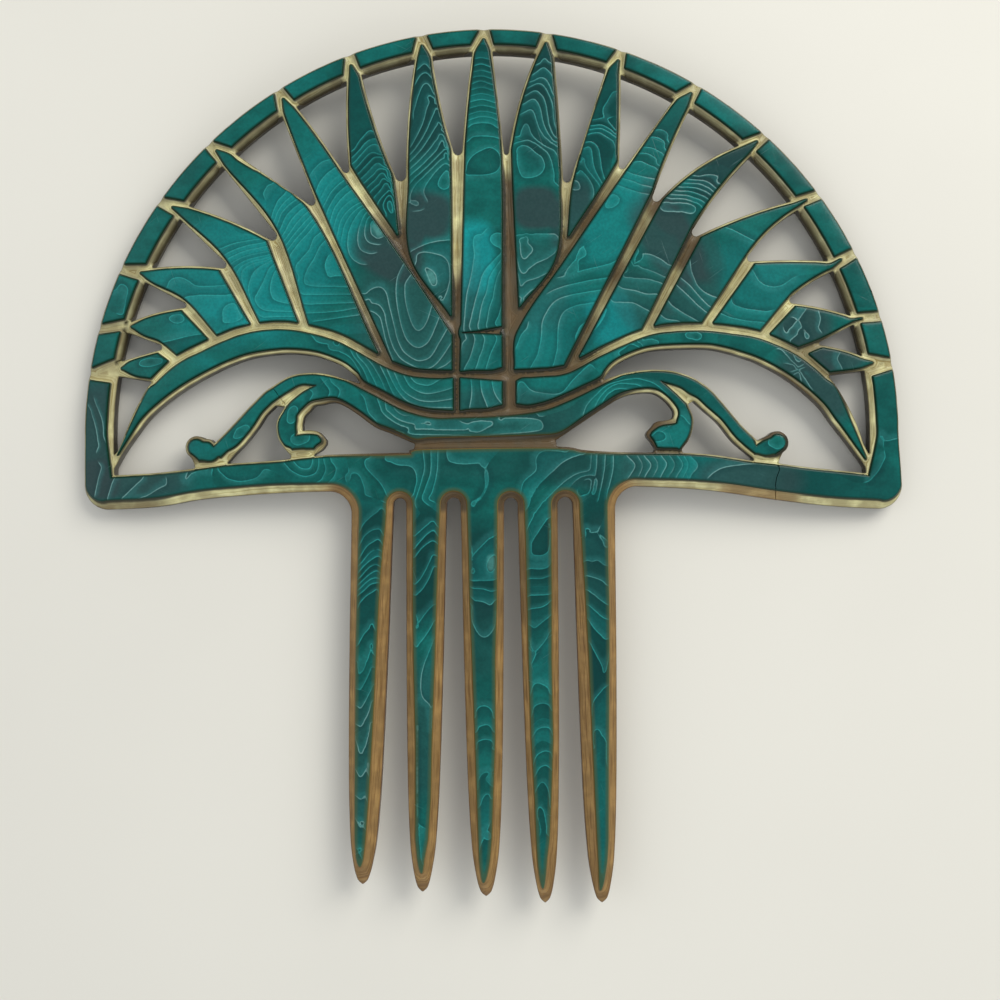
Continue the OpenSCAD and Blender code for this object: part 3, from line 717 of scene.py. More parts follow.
def sheet_walls(edge):
    """The sawn walls, rings of points from the sheet's upper edges down to the back, where they
    turn in by a quarter round: for each ring how far in it is, its height and how dark its painted
    shade is."""
    n = len(rim)
    rings = [
        (0.0, edge, EDGE_SHADE),
        (0.0, edge - WALL_TOP, WALL_SHADE),
        (0.0, 0.5 * (edge + BACK_ROUND), WALL_SHADE),
        (0.0, np.full(n, BACK_ROUND), WALL_SHADE),
        (ROUND_MIDDLE * BACK_ROUND, np.full(n, ROUND_MIDDLE * BACK_ROUND), EDGE_SHADE),
        (BACK_ROUND, np.zeros(n), BACK_SHADE),
    ]
    none = np.zeros(n)
    points = [
        np.column_stack([rim + rim_in * inset, height, none, none + sawn_shade, none])
        for inset, height, sawn_shade in rings
    ]
    triangles = [strip(k * n, (k + 1) * n, rim_next)[:, ::-1] for k in range(len(rings) - 1)]
    return np.concatenate(points), np.concatenate(triangles)


def sheet_back():
    """The plain back, with a square grid of points so that it bends evenly."""
    outline = rim + rim_in * BACK_ROUND
    x, y = np.meshgrid(*(np.arange(LOW[k], HIGH[k], BACK_STEP) for k in (0, 1)))
    spots = np.column_stack([x.ravel(), y.ravel()])
    away, _ = nearest(spots, rim)
    spots = spots[within(spots, rim, rim_next) & (away > BACK_EDGE)]
    plan, _, triangles = triangulated(np.concatenate([outline, spots]), rim_next)
    triangles = triangles[within(plan[triangles].mean(1), outline, rim_next)]
    none = np.zeros(len(plan))
    # painted shade: the back is painted half as dark as a sawn wall
    sawn_shade = np.full(len(plan), BACK_SHADE)
    return np.column_stack([plan, none, none, sawn_shade, none]), triangles[:, ::-1]


def amber_sheet():
    """The whole sheet as one closed mesh: the carved top between the teal faces and the cut
    edges, level lands under the faces, upright walls round every opening, and the back."""
    top, edge = carved_top()
    return welded([top, sheet_lands(), sheet_walls(edge), sheet_back()])


# ---------------------------------------------------------------- the teal faces


def rounded_top(d):
    """Height of a teal face at a distance d inside its edge: a quarter round at the edge and a
    slow swell towards the middle, both falling exponentials."""
    e = np.clip(d, 0, None)
    return SHEET - ROUND_DEEP * np.exp(-e / ROUND_WIDE) - SWELL_DEEP * np.exp(-e / SWELL_WIDE)


def face_fill():
    """Points inside the teal faces, with the distance of each from the nearest edge point and
    the number of that: the cracks' points, and staggered rows that stay clear of the edges and
    the cracks."""
    x, y = np.meshgrid(*(np.arange(LOW[k], HIGH[k], FILL) for k in (0, 1)))
    x[1::2] += FILL / 2
    cracks = crack_points()
    spots = np.concatenate([cracks, np.column_stack([x.ravel(), y.ravel()])])
    on_crack = np.arange(len(spots)) < len(cracks)
    away, which = nearest(spots, teal)
    from_crack, _ = nearest(spots, cracks)
    held = within(spots, teal, teal_next)
    held &= away > np.where(on_crack, CRACK_EDGE, FILL_EDGE)
    held &= on_crack | (from_crack > CRACK_ROOM)
    return spots[held], away[held], which[held]


def teal_face(name, fill, away):
    """One face as a closed plate: its rounded top, a bevel that spreads down to the amber, and a
    flat underside. Each point has its height and its distance inside the edge."""
    at = np.isin(teal_loop, [k for k, face in enumerate(loop_face) if face == name])
    edge, out = teal[at], teal_out[at]
    number = np.full(len(teal), -1)
    number[at] = np.arange(at.sum())
    following = number[teal_next[at]]
    rows = [(d, inner[at] > d / INNER_SHARE) for d in INNER_ROWS]
    row_points = [edge[ok] - out[ok] * d for d, ok in rows]
    row_depth = [np.full(ok.sum(), d) for d, ok in rows]
    depth = np.concatenate([np.zeros(len(edge))] + row_depth + [away])
    plan, source, triangles = triangulated(np.concatenate([edge] + row_points + [fill]), following)
    depth = depth[source]
    height = rounded_top(depth) - CRACK_FALL * crack_depth(plan)
    top = np.column_stack([plan, height, depth])
    n = len(edge)
    outside = np.full(n, -LIP)
    sides = [
        np.column_stack([edge, rounded_top(np.zeros(n)), np.zeros(n)]),
        np.column_stack([edge + out * lip[at][:, None], np.full(n, LAND + FOOT_OVER), outside]),
        np.column_stack([edge, np.full(n, LAND + UNDER_OVER), outside]),
    ]
    side_triangles = [strip(k * n, (k + 1) * n, following)[:, ::-1] for k in range(len(sides) - 1)]
    plan, _, under_triangles = triangulated(edge, following)
    level = np.ones(len(plan))
    under = np.column_stack([plan, level * (LAND + UNDER_OVER), level * -LIP])
    return welded(
        [
            (top, triangles),
            (np.concatenate(sides), np.concatenate(side_triangles)),
            (under, under_triangles[:, ::-1]),
        ]
    )


# ---------------------------------------------------------------- the pale contour lines

# Contour lines of the teal layer, read off: for each face, rows of a level and the places
# x, y, x, y ... of one line in pixels of the photograph. Rows with a broken level are places
# between two lines.
FOLDS = {}
FOLDS["band_face_left"] = [
    (0.5, 128.4, 444), (0.5, 146.7, 411.8, 167.4, 411.8), (0.5, 190.3, 377.4, 201.8, 372.8),
    (0.5, 247.7, 345.3, 270.7, 345.3), (1, 312, 335.6, 316.2, 341.1, 328.1, 344.1, 339.6, 342.5),
    (0.6, 305.1, 345.3), (1, 330.4, 349.8, 341.9, 352.6, 351.5, 359, 359.1, 371),
    (3, 357.9, 356.7, 367.1, 367.1, 375.2, 383.1),
    (5, 377.4, 361.3, 384.3, 373.9, 390.1, 387.7, 397, 400.8),
    (6, 386.6, 368.7, 394.7, 386.1, 406.1, 399.9, 424.5, 406.8, 454.4, 407.7),
    (7, 396.5, 377.9, 402, 389.3, 415.3, 398.7, 431.4, 401.5, 454.4, 398.5),
    (8, 405, 377.9, 410.7, 387, 424.5, 393.5, 440.6, 391.4, 454.4, 387),
    (9, 410.7, 377.4, 416.5, 383.1, 429.1, 385.2, 437.1, 381.1),
]
FOLDS["band_face_middle"] = [
    (0.5, 462, 393.4), (1, 470.7, 379.3, 471.7, 392.1, 469.7, 408.2),
    (2, 480.4, 379.3, 481.9, 392.1, 488.6, 409.2),
    (3, 491.9, 380.1, 493.7, 390.8, 499.5, 401, 507.4, 407.7), (3.6, 503.4, 385.7),
]
FOLDS["band_face_right"] = [
    (1, 515.2, 403.3, 517.1, 391.4, 518.5, 383.2, 523.2, 382.2, 530.9, 390, 542.1, 393,
     554.7, 394.2, 563.1, 391.4, 573, 380.1, 584.2, 368.9, 590.5, 364),
    (1.5, 522.4, 399.8, 535.1, 400.5), (0.5, 535.1, 382.9, 558.9, 382.2),
    (0.5, 598.2, 356.3, 609.4, 350.7),
    (0, 618.6, 352.4, 626.3, 346.7, 633.3, 344.4, 641, 349.7, 634.7, 353.8, 623.5, 356.3),
    (-0.5, 630.5, 350.4), (0.5, 645.9, 353.5),
    (1, 638.2, 342.5, 648.7, 339.4, 658.6, 341.5, 654.3, 346.5, 643.1, 348.6),
    (1.4, 650.1, 343.4), (0.5, 671.2, 338),
    (1, 699.2, 333.1, 689.4, 332.4, 685.2, 334.5, 689.4, 338.7, 699.2, 339.4),
    (1.5, 696.4, 336.2), (1.5, 734.6, 343.9, 759.5, 350.5),
    (1, 782.7, 350.5, 791, 360.5, 797.6, 367.1, 800.9, 378.7),
    (0, 794.3, 365.5, 802.6, 375.4, 809.2, 385.3), (-0.5, 825.8, 375.4), (-0.4, 834.1, 390),
]
FOLDS["bar_face"] = [
    (9, 90.5, 409.8, 95.9, 428, 98.7, 446.3), (10, 95.9, 404, 102.3, 420.8, 103.5, 436),
    (8.5, 88.5, 440), (9.5, 101, 452), (9, 95.9, 490.2, 98.7, 477.2, 101.4, 468),
    (9.5, 103.5, 486), (10, 108.7, 494.6, 112.3, 482.7, 116, 475), (10.5, 120, 486),
    (11, 121.4, 499.1, 132.4, 488.2, 141.6, 479.7), (11.5, 144, 489),
    (11, 137.8, 499, 148.8, 494.6, 157.9, 489.1, 166.3, 484.2), (10.5, 172, 486),
    (10, 185.9, 479, 194.8, 472.1, 212.7, 468.8), (10.4, 199.9, 481),
    (9, 217.8, 469, 226.7, 478, 240.7, 481.5, 256, 478, 264.2, 469.5), (8.6, 240.7, 472.1),
    (9.5, 243.3, 487.4, 273.9, 484.8),
    (8, 283.6, 461.9, 291.7, 470.8, 304.5, 476.4, 316, 472.1, 318.8, 461.9),
    (7, 293, 460.6, 299.9, 467.8, 309.6, 468.3, 312.7, 460.1), (6.6, 304.5, 461.9),
    (9, 323.6, 460.6, 325.7, 469.5, 321.8, 479),
    (10, 331.3, 461.1, 336.1, 468.3, 334.1, 476.4, 327.4, 483.1),
    (11, 345.3, 475.9, 356.8, 473.4, 362.7, 482.3, 365.7, 495.1),
    (12, 370.8, 456.8, 365.2, 460.1, 366.2, 467.8, 373.4, 475.9, 381.5, 484.8, 387.4, 496.8),
    (12.5, 391.2, 478.5),
    (13, 384.8, 458.6, 396.3, 464.4, 411.6, 467, 416.7, 478.5, 413.7, 493.8),
    (14, 423.1, 451.7, 424.4, 468.3, 420.6, 483.6, 414.7, 501.4),
    (15, 430.8, 451.7, 430.8, 470.8, 426.9, 483.6, 422.3, 496.8),
    (16, 437.7, 451.7, 437.1, 470.8, 433.3, 488.2, 429, 499.4),
    (17, 446.8, 451.7, 448.6, 460.1, 460.1, 463.7, 479.2, 463.2), (16.6, 462.7, 481),
    (17.4, 472.9, 456.8), (17, 480, 464.7, 487.6, 472, 488.1, 484.2, 480, 499.9),
    (16.5, 504.4, 470.7),
    (16, 520.7, 493.7, 523.9, 481.5, 535.6, 470.7, 536.4, 457.6, 545.1, 450.6, 566.7, 451.7),
    (15, 530.1, 497.8, 535.6, 488.3, 550.5, 473.4, 566.7, 459.8, 585.7, 452.8),
    (14, 534.2, 512.7, 545.1, 501, 561.3, 484.2, 574.9, 474.7, 589, 470.7),
    (13, 597.1, 453, 596, 470.7, 591.7, 492.3), (12, 605.2, 454.4, 604.2, 470.7, 599.3, 495.1),
    (11, 613.4, 455.8, 612.8, 470.7, 607.4, 492.3),
    (10, 627.7, 456.6, 635.1, 465.2, 629.6, 476.1), (8, 644.8, 456.6, 650.8, 465.2, 645.9, 474.7),
    (6, 661.1, 455.8, 666.5, 463.9, 662.2, 473.4), (4, 676.5, 454.9, 682.8, 463.9, 678.4, 473.4),
    (2, 690.1, 455.8, 697.7, 465.2, 691.4, 474.7), (1.5, 707.7, 465.2),
    (1, 712.6, 473.4, 724, 467.4, 751.1, 463.9, 774.1, 464.7), (0.5, 740.2, 476.1),
    (0.5, 805.3, 478.8), (0.5, 846, 495.1), (0.5, 886.6, 484.2),
    (1, 885.3, 457.1, 878.5, 470.7, 870.3, 480.1), (1.5, 870.3, 462.5), (0.5, 894.7, 446.3),
    (1, 881.2, 435.4, 886.6, 440.8, 898.8, 438.1), (10.5, 364.1, 512.1),
    (10, 359.8, 531.6, 364.1, 523.1, 373.5, 514.8, 382.6, 508.4),
    (9, 359.4, 545.6, 364.1, 536.5, 372.1, 530.4, 380.2, 529.6, 382.6, 534.2),
    (8, 358.5, 559.7, 365.4, 548.3, 373.5, 541.6, 379.5, 539.7, 383.1, 545.9),
    (6, 357.7, 573.7, 364.1, 565.7, 373.5, 558.3, 380.2, 557, 382.3, 562),
    (4, 357.4, 585.8, 364.1, 579.1, 372.1, 572.7, 378.8, 571.7, 381, 575.4),
    (2, 358.1, 595.4, 365.4, 589.1, 372.1, 583.8, 379.1, 582.9),
    (1, 360.1, 602.5, 366.8, 595.4, 377.2, 589.5), (0.5, 365.4, 615.3),
    (0, 358.1, 644.7, 360.1, 640.7, 364.1, 634, 368.8, 628.7, 372.8, 624),
    (-1, 356.7, 660.8, 359.8, 673.9, 363.4, 670.2, 367.5, 659.5, 371.9, 643.4),
    (-2, 356.7, 688.9, 360.1, 690, 365.4, 680.9, 371.5, 667.5),
    (-3, 357.5, 706, 360.5, 708.3, 365.5, 701, 373.7, 684.2),
    (-4, 357.1, 724.9, 360.3, 726.6, 366.7, 716.8, 372, 701),
    (-5, 355.2, 736.1, 359.9, 753.2, 365, 747.3, 371.1, 722.1),
    (-6, 355.7, 769.8, 360.5, 777.1, 366.4, 768.4, 368.2, 763),
    (-7, 356.6, 796.5, 361, 799.5, 365.3, 795.8), (-8, 355.2, 818.2, 360.3, 827.6, 364.1, 821.7),
    (-9, 356.8, 848.4, 359.6, 854.3, 361.7, 848.4), (-4.5, 359.5, 740, 365, 733),
    (-5.5, 356.5, 757, 360.2, 765, 366.5, 753), (-6.5, 356.8, 784, 360.6, 788.5, 365.6, 783),
    (-7.5, 357, 808, 360.7, 813.5, 364.5, 808), (-8.5, 357.4, 836, 359.9, 841, 363, 836),
    (-9.5, 359.8, 866), (14.4, 425.7, 506.8),
    (14, 414.3, 536.2, 420.4, 530.9, 428.4, 524.2, 434.4, 521.8, 437.5, 526.6),
    (13, 414.3, 548.6, 420.4, 541.1, 428.4, 533, 434.4, 530.9, 437.1, 535.2),
    (12, 414.7, 557, 420.4, 549.6, 428.4, 542.9, 434, 541.1), (11.4, 425.7, 560.4),
    (11, 414.3, 584.7, 420.4, 579.1, 427, 567, 432.7, 555),
    (10, 415, 595.4, 421.7, 589.8, 428.4, 579.1, 433.5, 567),
    (9, 415.7, 628, 420.4, 620.6, 428.4, 609.9, 434.4, 604.5),
    (8, 416.1, 647.1, 421.7, 640.7, 428.4, 631.3, 434.4, 620.6),
    (7, 434.5, 638, 428.5, 653, 423, 668, 420.6, 684, 422.5, 697, 428.7, 703.5, 431.9, 712,
     431.5, 727),
    (6.4, 430, 670, 429, 690), (7.5, 417, 660, 417.5, 690),
    (7.5, 424, 725, 424.2, 778.2, 424.2, 820.3),
    (8, 416.9, 724.9, 417.4, 792.2, 418.9, 834.3, 421.4, 861),
    (17, 472.8, 506.8, 480.8, 497.4, 484.8, 488), (16.5, 483.5, 520.2),
    (16, 472.2, 573.7, 472.2, 564.4, 473.4, 555.7, 480.8, 547, 488.8, 538.9, 494.2, 535.7,
     496.9, 538.9, 497.8, 549.6),
    (15.5, 479.5, 560.4),
    (15, 486.8, 567, 487.8, 562, 491.5, 556.3, 494.9, 554.7, 496.3, 560.4, 494.9, 568.4,
     491.5, 572.1, 488.2, 571.3, 486.8, 567),
    (14.5, 491.8, 563.7), (15, 472.5, 580.7, 483.5, 580.8, 494.9, 579.8),
    (14, 473.8, 588.5, 483.5, 589.1, 490.2, 591.2, 495.3, 590.5),
    (13, 474.4, 600.5, 483.5, 601.9, 490.8, 604.8, 494.2, 601.2),
    (12, 471.4, 604.5, 472.2, 620.6, 476.8, 631.3, 481.1, 636, 487.5, 636, 492.9, 630, 495.5, 622,
     496.5, 611.2),
    (11.5, 482.1, 657.5, 482.1, 687), (11.5, 474.5, 687), (11.5, 493, 687), (10.5, 485, 716),
    (11, 475, 717.9, 476.7, 710.2, 480.9, 706.2, 486.5, 706.4, 491.4, 710.2, 494.1, 718.6),
    (10, 476.4, 732.2, 478.8, 727, 483.7, 725.2, 489.3, 725.6, 494.1, 732.2),
    (9, 476.1, 749.5, 478.1, 741.7, 483.7, 739.4, 490.7, 740.3, 495.9, 749),
    (8, 477.4, 790.1, 478.8, 779.6, 483, 773.3, 487.2, 771.9, 492.1, 775.4, 494.1, 787.3),
    (7, 480.6, 804.9, 483.7, 796.5, 487.9, 793.7, 491.8, 799.3),
    (6, 480, 847.7, 483.7, 837.1, 487.9, 828.7, 490.7, 837.9),
    (15, 529, 505.4, 531.7, 497.4, 537, 488),
    (14, 528.7, 525.5, 535.7, 512.1, 543.7, 501.4, 553.1, 492.1),
    (13, 531.7, 553, 531.7, 542.9, 537, 533.6, 542.4, 525.5, 547.1, 518.8, 549.1, 522.9,
     549.8, 536.2, 548.4, 551, 543.7, 554.7, 537, 555.3, 531.7, 553),
    (12.6, 542.4, 542.9), (13.4, 530.4, 537.6), (13.1, 539.7, 561.7),
    (13, 530, 568.7, 541.1, 568.9, 547.8, 567, 551.1, 562.8),
    (12, 530.1, 578.4, 541.1, 578.6, 550.2, 575.8), (10, 530.4, 595.4, 549.1, 594.5),
    (9, 531, 608.8, 541.1, 607.2, 547.8, 603.9, 551.1, 600.5),
    (8, 528.7, 624.6, 533.7, 628.1, 541.1, 623.3, 549.1, 616.6),
    (7, 530.1, 640.7, 532, 651.4, 533.8, 658.9, 538.4, 648.7, 545, 641, 549.4, 632.7),
    (7.5, 535, 640, 543, 630), (6.6, 545, 653), (6.5, 541.1, 667.5),
    (6, 531.1, 693.3, 533.1, 685.6, 537.7, 683.1, 546.8, 687, 550.7, 694.7),
    (5, 532.5, 714, 534.5, 706.7, 541.2, 703.3, 548.2, 704.7, 552.1, 711.1),
    (3, 533.1, 736.1, 537, 730, 544, 727.1, 549.6, 728.5, 553.5, 736.4),
    (1, 533.9, 763.1, 537, 755.2, 545.4, 751, 551, 753, 553.1, 760.3),
    (0, 535.9, 774.3, 539.8, 767.8, 546.8, 765.6, 552.1, 770.5),
    (-1, 537.3, 787.3, 541.2, 782.4, 545.4, 784.5, 548.9, 792.2, 549.9, 806.3),
    (-2, 537.3, 814, 539.8, 807, 543.3, 810.5, 546.1, 823.1, 547.1, 834.3), (-2.5, 541.9, 848.4),
    (12, 591.3, 480.7, 589.3, 492.1, 580.6, 496.3),
    (11, 585.5, 528.9, 589.9, 532.2, 596, 531.7, 600, 537.6, 606.7, 547.6),
    (10, 586.3, 560.4, 592, 561.4, 598, 560.4, 604, 565, 608.7, 566),
    (9, 586.6, 575.8, 594.6, 577.8, 601.3, 580.4, 606.4, 584.7),
    (8, 587.7, 590.1, 594.6, 595.2, 601.3, 600.5, 606.7, 604.3),
    (7, 589.3, 605.6, 597.3, 612.6, 604, 618.2, 608.7, 619.3),
    (6, 587.7, 618.6, 594.6, 628.7, 601.3, 635.4, 606.4, 639.4),
    (5, 589.9, 642.7, 596, 654.1, 601.3, 664.8, 604, 673.1, 606.7, 667.5, 609.6, 651.4),
    (5.5, 597, 644, 603, 654), (4.5, 592, 662, 598, 676, 596, 686), (4.5, 609, 676),
    (4, 591.4, 716.5, 593.1, 702.4, 598.7, 694, 604.3, 687.7),
    (3, 592.8, 748.8, 593.8, 731.9, 596.6, 729.1, 601.5, 734.7, 606, 741.7, 606.3, 760),
    (3.5, 607.1, 722.1), (2.6, 601.5, 806.3, 601.5, 848.4),
]
FOLDS["ray_face_1"] = [
    (0.5, 130.6, 365.6),
    (1, 139.2, 364.6, 143, 359.8, 151.7, 357.9, 162.2, 358.9, 157.4, 364.6, 145.9, 366.5,
     139.2, 364.6),
    (1.4, 150.7, 362.1), (0.5, 157.4, 354.1), (0.5, 147.8, 372.3), (0.5, 168.9, 359.8),
]
FOLDS["ray_face_2"] = [
    (0.5, 138.3, 326.9),
    (1, 169.3, 319.3, 170.8, 316.2, 176.5, 314.9, 183.4, 317, 183.8, 320.6, 179.4, 323.1,
     172.7, 322, 169.3, 319.3),
    (1.5, 176.9, 319.1), (0.5, 157.4, 327.3, 191.8, 325.4),
    (0, 161.2, 342.6, 176.5, 339.2, 189.9, 335.9, 207.1, 333.1), (-0.5, 182.3, 348.4),
]
FOLDS["ray_face_3"] = [
    (0.5, 155.5, 275.7),
    (1, 167, 287.1, 169.3, 281.8, 174.6, 278, 182.3, 278, 189.9, 281.8, 194.7, 285.4,
     207.1, 286.4, 224.4, 285.2),
    (0.6, 191.8, 273.7, 214.8, 273.7), (2, 187, 296.7, 199.5, 295.2, 226.3, 295.2),
    (2.5, 199.5, 306.3),
    (3, 224, 322.5, 222.8, 312, 226.3, 305.9, 233.9, 303.4, 238.1, 310.1, 242.5, 317.7),
    (3.6, 232, 313.9), (2.4, 207.1, 325.4), (2, 222.4, 332.1, 237.7, 328.3, 251.1, 323.1),
]
FOLDS["ray_face_4"] = [
    (0.5, 180.4, 208.7), (0.5, 199.5, 220.2, 195.7, 229.7), (0.6, 222.4, 229.7, 214.8, 241.2),
    (1, 222.1, 247.9, 233.9, 243.5, 245.4, 241.2, 261.1, 238.4),
    (3, 230.1, 257.5, 245.4, 250.8, 262.6, 247, 271.2, 246),
    (5, 234.9, 267, 241.6, 262.3, 253.1, 258.1, 273.1, 253.7),
    (7, 248.3, 298.6, 243.1, 284.3, 242, 271.8, 251.1, 264.2, 264.5, 260.7),
    (8, 251.1, 302.4, 248.3, 288.1, 253.1, 273.7, 262.6, 265.1, 273.1, 259.4),
    (9, 291.3, 311.6, 268.4, 310.9, 260.7, 308.2, 255.9, 302.4, 256.9, 294.8, 262.6, 283.3,
     268.4, 269.9, 274.1, 264.2, 278.9, 263.8),
    (10, 288.4, 303.4, 276, 300.5, 271.4, 294.8, 270.3, 287.1, 273.1, 275.7, 277, 269.5),
    (10.6, 281.7, 289), (8, 264.5, 317.4, 277.9, 316.6, 294.2, 316.6),
]
FOLDS["ray_face_5"] = [
    (0.5, 229.9, 162.9), (0.5, 244.9, 169.5, 241.6, 176.1), (0.6, 259.8, 179.4, 253.2, 186.1),
    (1, 263.4, 193.5, 267.3, 186.1, 271.7, 184.1),
    (2, 271.7, 216.7, 273.4, 210.9, 278, 201, 283.7, 194.7),
    (4, 277.2, 224.2, 281.7, 212.9, 289.6, 204.3, 295.4, 200.2),
    (6, 285, 231.7, 291.3, 220.1, 299.6, 210.9, 306.6, 206),
    (8, 287.2, 243.3, 293, 235.8, 301.2, 225.9, 310.9, 215.1),
    (10, 291, 253.7, 299.6, 242.4, 307.9, 233.3, 315.8, 223.4),
    (11, 298.8, 277.3, 295.6, 269.8, 296.6, 264.8, 302.9, 257.4, 309.5, 249.1, 314.5, 237.5,
     319.8, 233.3),
    (12, 349.3, 287.2, 332.8, 286.4, 312.9, 286.1, 304.6, 283.1, 304.2, 277.3, 308.7, 267.3,
     315.3, 256.5, 319.5, 247.4, 325.3, 240.8),
    (12.6, 322.8, 275.6), (13, 326.1, 260.7, 325.1, 267.3, 328.6, 276.4, 334.4, 275.9),
    (11, 302.9, 294.2, 327.8, 294.5, 351.8, 294.2),
    (10, 309.5, 304.1, 336.1, 303.3, 355.1, 302.5), (9, 312.9, 312.9, 336.1, 311.3, 360.1, 307.4),
    (8, 319.5, 320.7, 342.7, 317.1, 363.4, 314.1),
]
FOLDS["ray_face_6"] = [
    (0.5, 291.3, 109.8, 293, 108.1), (0.5, 293, 124.7, 309.5, 121.4),
    (0.5, 302.9, 143, 322.8, 139.6), (0.6, 307.9, 159.5, 314.5, 152.9, 322.8, 149.6),
    (1, 312.5, 171.1, 317.8, 165.3, 322.8, 161.5, 329.8, 159.5),
    (2, 316.7, 190.2, 319.5, 182.8, 326.1, 174.5, 334.7, 167.8),
    (4, 325.3, 202.6, 330.3, 193.5, 336.9, 186.1, 347.3, 177.8),
    (6, 330.3, 220.1, 334.4, 208.5, 343.5, 196.8, 356, 186.9),
    (8, 337.4, 234.2, 341, 220.1, 350.2, 208.5, 363.6, 200.7),
    (10, 360.1, 263.7, 352.6, 259, 348, 249.1, 348.5, 233.3, 354.3, 219.2, 360.9, 210.6),
    (11, 370.1, 253.7, 361.8, 250.7, 358, 242.4, 358.9, 229.2, 363.4, 216.7, 368.4, 210.9),
    (12, 374.2, 244.1, 367.2, 240.8, 364.6, 233.3, 366.7, 220.1, 370.1, 215.9),
    (13, 376.7, 238.3, 371.2, 233.3, 370.9, 223.4),
    (9.4, 356, 283.3, 362.5, 276.8, 384.2, 268.6, 401.6, 259.5),
    (9, 365.8, 293.7, 373.4, 288.1, 381.6, 287.7, 386.8, 294.2, 389, 305, 392.9, 320.2,
     397.6, 339.7, 404.8, 352.7, 417.8, 360.5, 429.7, 357.1, 438.4, 344, 447.1, 328.9),
    (8, 368.6, 298.9, 371.6, 302.8, 378.8, 305, 384.2, 312.6, 386.8, 325.6, 391.8, 344,
     399.4, 357.1, 410.2, 364.6, 423.2, 368.8, 434.1, 365.7, 444.9, 352.7, 453.6, 338.6),
    (7, 374.4, 312.6, 380.3, 318, 383.1, 328.9, 386.8, 344, 392.9, 360.3),
    (7, 436.2, 369.6, 446, 364.6, 454, 358.1),
    (10, 404.8, 261.6, 397.6, 276.8, 396.1, 294.2, 399, 315.9, 404.2, 334.3, 410.7, 344,
     418.9, 347.5, 428, 341.9, 434.5, 328.9, 440.6, 312.6),
    (11, 412, 273.6, 405.2, 284.4, 405.9, 302.8, 411.3, 322.4, 417.8, 330.6, 425.4, 324.5,
     430.8, 309.3, 433.6, 297.4),
    (11.6, 418.9, 300.7),
]
FOLDS["ray_face_7"] = [
    (0.5, 352.6, 79.9, 356.8, 79.9), (0.5, 352.6, 99.8, 365.9, 99.8),
    (0.6, 352.6, 123.1, 371.7, 119.7),
    (1, 354.6, 148.8, 359.3, 141.3, 365.1, 134.7, 370.1, 130.5, 375.5, 132.7),
    (3, 356, 160.4, 362.6, 152.9, 369.2, 146.3, 376.7, 144.6, 380.5, 152.1),
    (5, 360.6, 171.1, 367.6, 163.7, 375, 157.1, 381.7, 157.1, 385.5, 165.3),
    (7, 365.9, 181.1, 374.2, 173.6, 380, 168.7, 385.8, 169.5, 388.8, 178.6),
    (9, 372.9, 189.4, 380, 182.8, 385.8, 179.4, 390, 181.9, 392.4, 190.2),
    (11, 378.8, 201, 383.3, 195.7, 387.5, 191.9, 391.1, 191, 393.8, 196.8, 395.4, 208.5),
    (12, 386.1, 213.4, 383.2, 206.8, 385, 200.2, 389.1, 195.2, 392.8, 200.2, 394.9, 210.9),
    (13, 389.5, 210.9, 387.5, 206, 389.1, 201, 391.8, 203.5, 393.1, 210.9), (12.4, 395.8, 224.2),
]
FOLDS["ray_face_8"] = [
    (13, 417.2, 69.8, 424.8, 63.9, 431.5, 70.8),
    (12, 415.9, 82.8, 420.6, 75.2, 426.9, 73, 433.2, 80.6),
    (11, 413.5, 112, 417.8, 96.9, 423.2, 84.9, 428, 83.9, 434.5, 94.7),
    (10, 410.7, 146.7, 416.7, 135.9, 422.8, 122.9, 427.1, 107.7, 430.8, 95.8, 434.1, 97.9,
     436.2, 104.4),
    (9, 409.1, 155.4, 416.7, 146.7, 425.4, 132.6, 431.5, 118.5, 436.9, 108.1, 440.6, 118.5,
     443.2, 128.3),
    (8, 408.5, 163, 418.9, 152.2, 427.6, 140.2, 434.1, 129.4, 440.1, 123.3, 444.3, 132.6,
     447.1, 144.6),
    (7, 408.1, 170.6, 418.9, 160.8, 429.7, 148.9, 437.8, 138.5, 442.7, 134.8, 446.7, 143.5,
     449.3, 153.2),
    (5, 408.1, 185.8, 415.6, 177.1, 425.4, 168.4, 435.2, 158.7, 443.2, 151.1, 447.5, 150,
     450.3, 158.7),
    (4, 417.8, 205.7, 412, 204.2, 410.2, 195.5, 415.6, 184.7, 425.4, 174.9, 436.2, 164.1,
     444.9, 157.6, 450.6, 161.9),
    (3, 424.8, 195.5, 424.5, 187.9, 429.7, 179.3, 438.4, 168.4, 446, 163.6, 450.6, 168.4),
    (3, 437.8, 184.7, 440.6, 177.1, 447.1, 170.1, 449, 178.2, 448.2, 187.5, 441, 188.4,
     437.8, 184.7),
    (3.5, 444.1, 181.4), (2.6, 431.9, 190.1), (2.5, 415.6, 213.9, 431.9, 212.9, 448.2, 211.8),
    (2.5, 415.6, 231.3, 431.9, 229.1, 448.2, 228),
    (2, 415, 249.1, 425.4, 244.3, 436.2, 241.3, 449.7, 240),
    (1, 416.3, 260.6, 417.6, 254.1, 423.2, 252.1, 434.1, 253.4, 443.8, 256.9, 448.8, 264.9,
     449.7, 279, 447.1, 290.9, 442.7, 300.7, 439.5, 295.3),
    (0, 425, 268.6, 429.7, 269.2, 434.5, 273.6, 436.7, 281.2, 435.8, 285.1, 432.6, 285.5,
     428.7, 277.9, 425, 268.6),
    (-0.5, 431.9, 276.8), (0.5, 442.7, 274.7), (1.6, 448.2, 309.3, 452.5, 323.4),
]
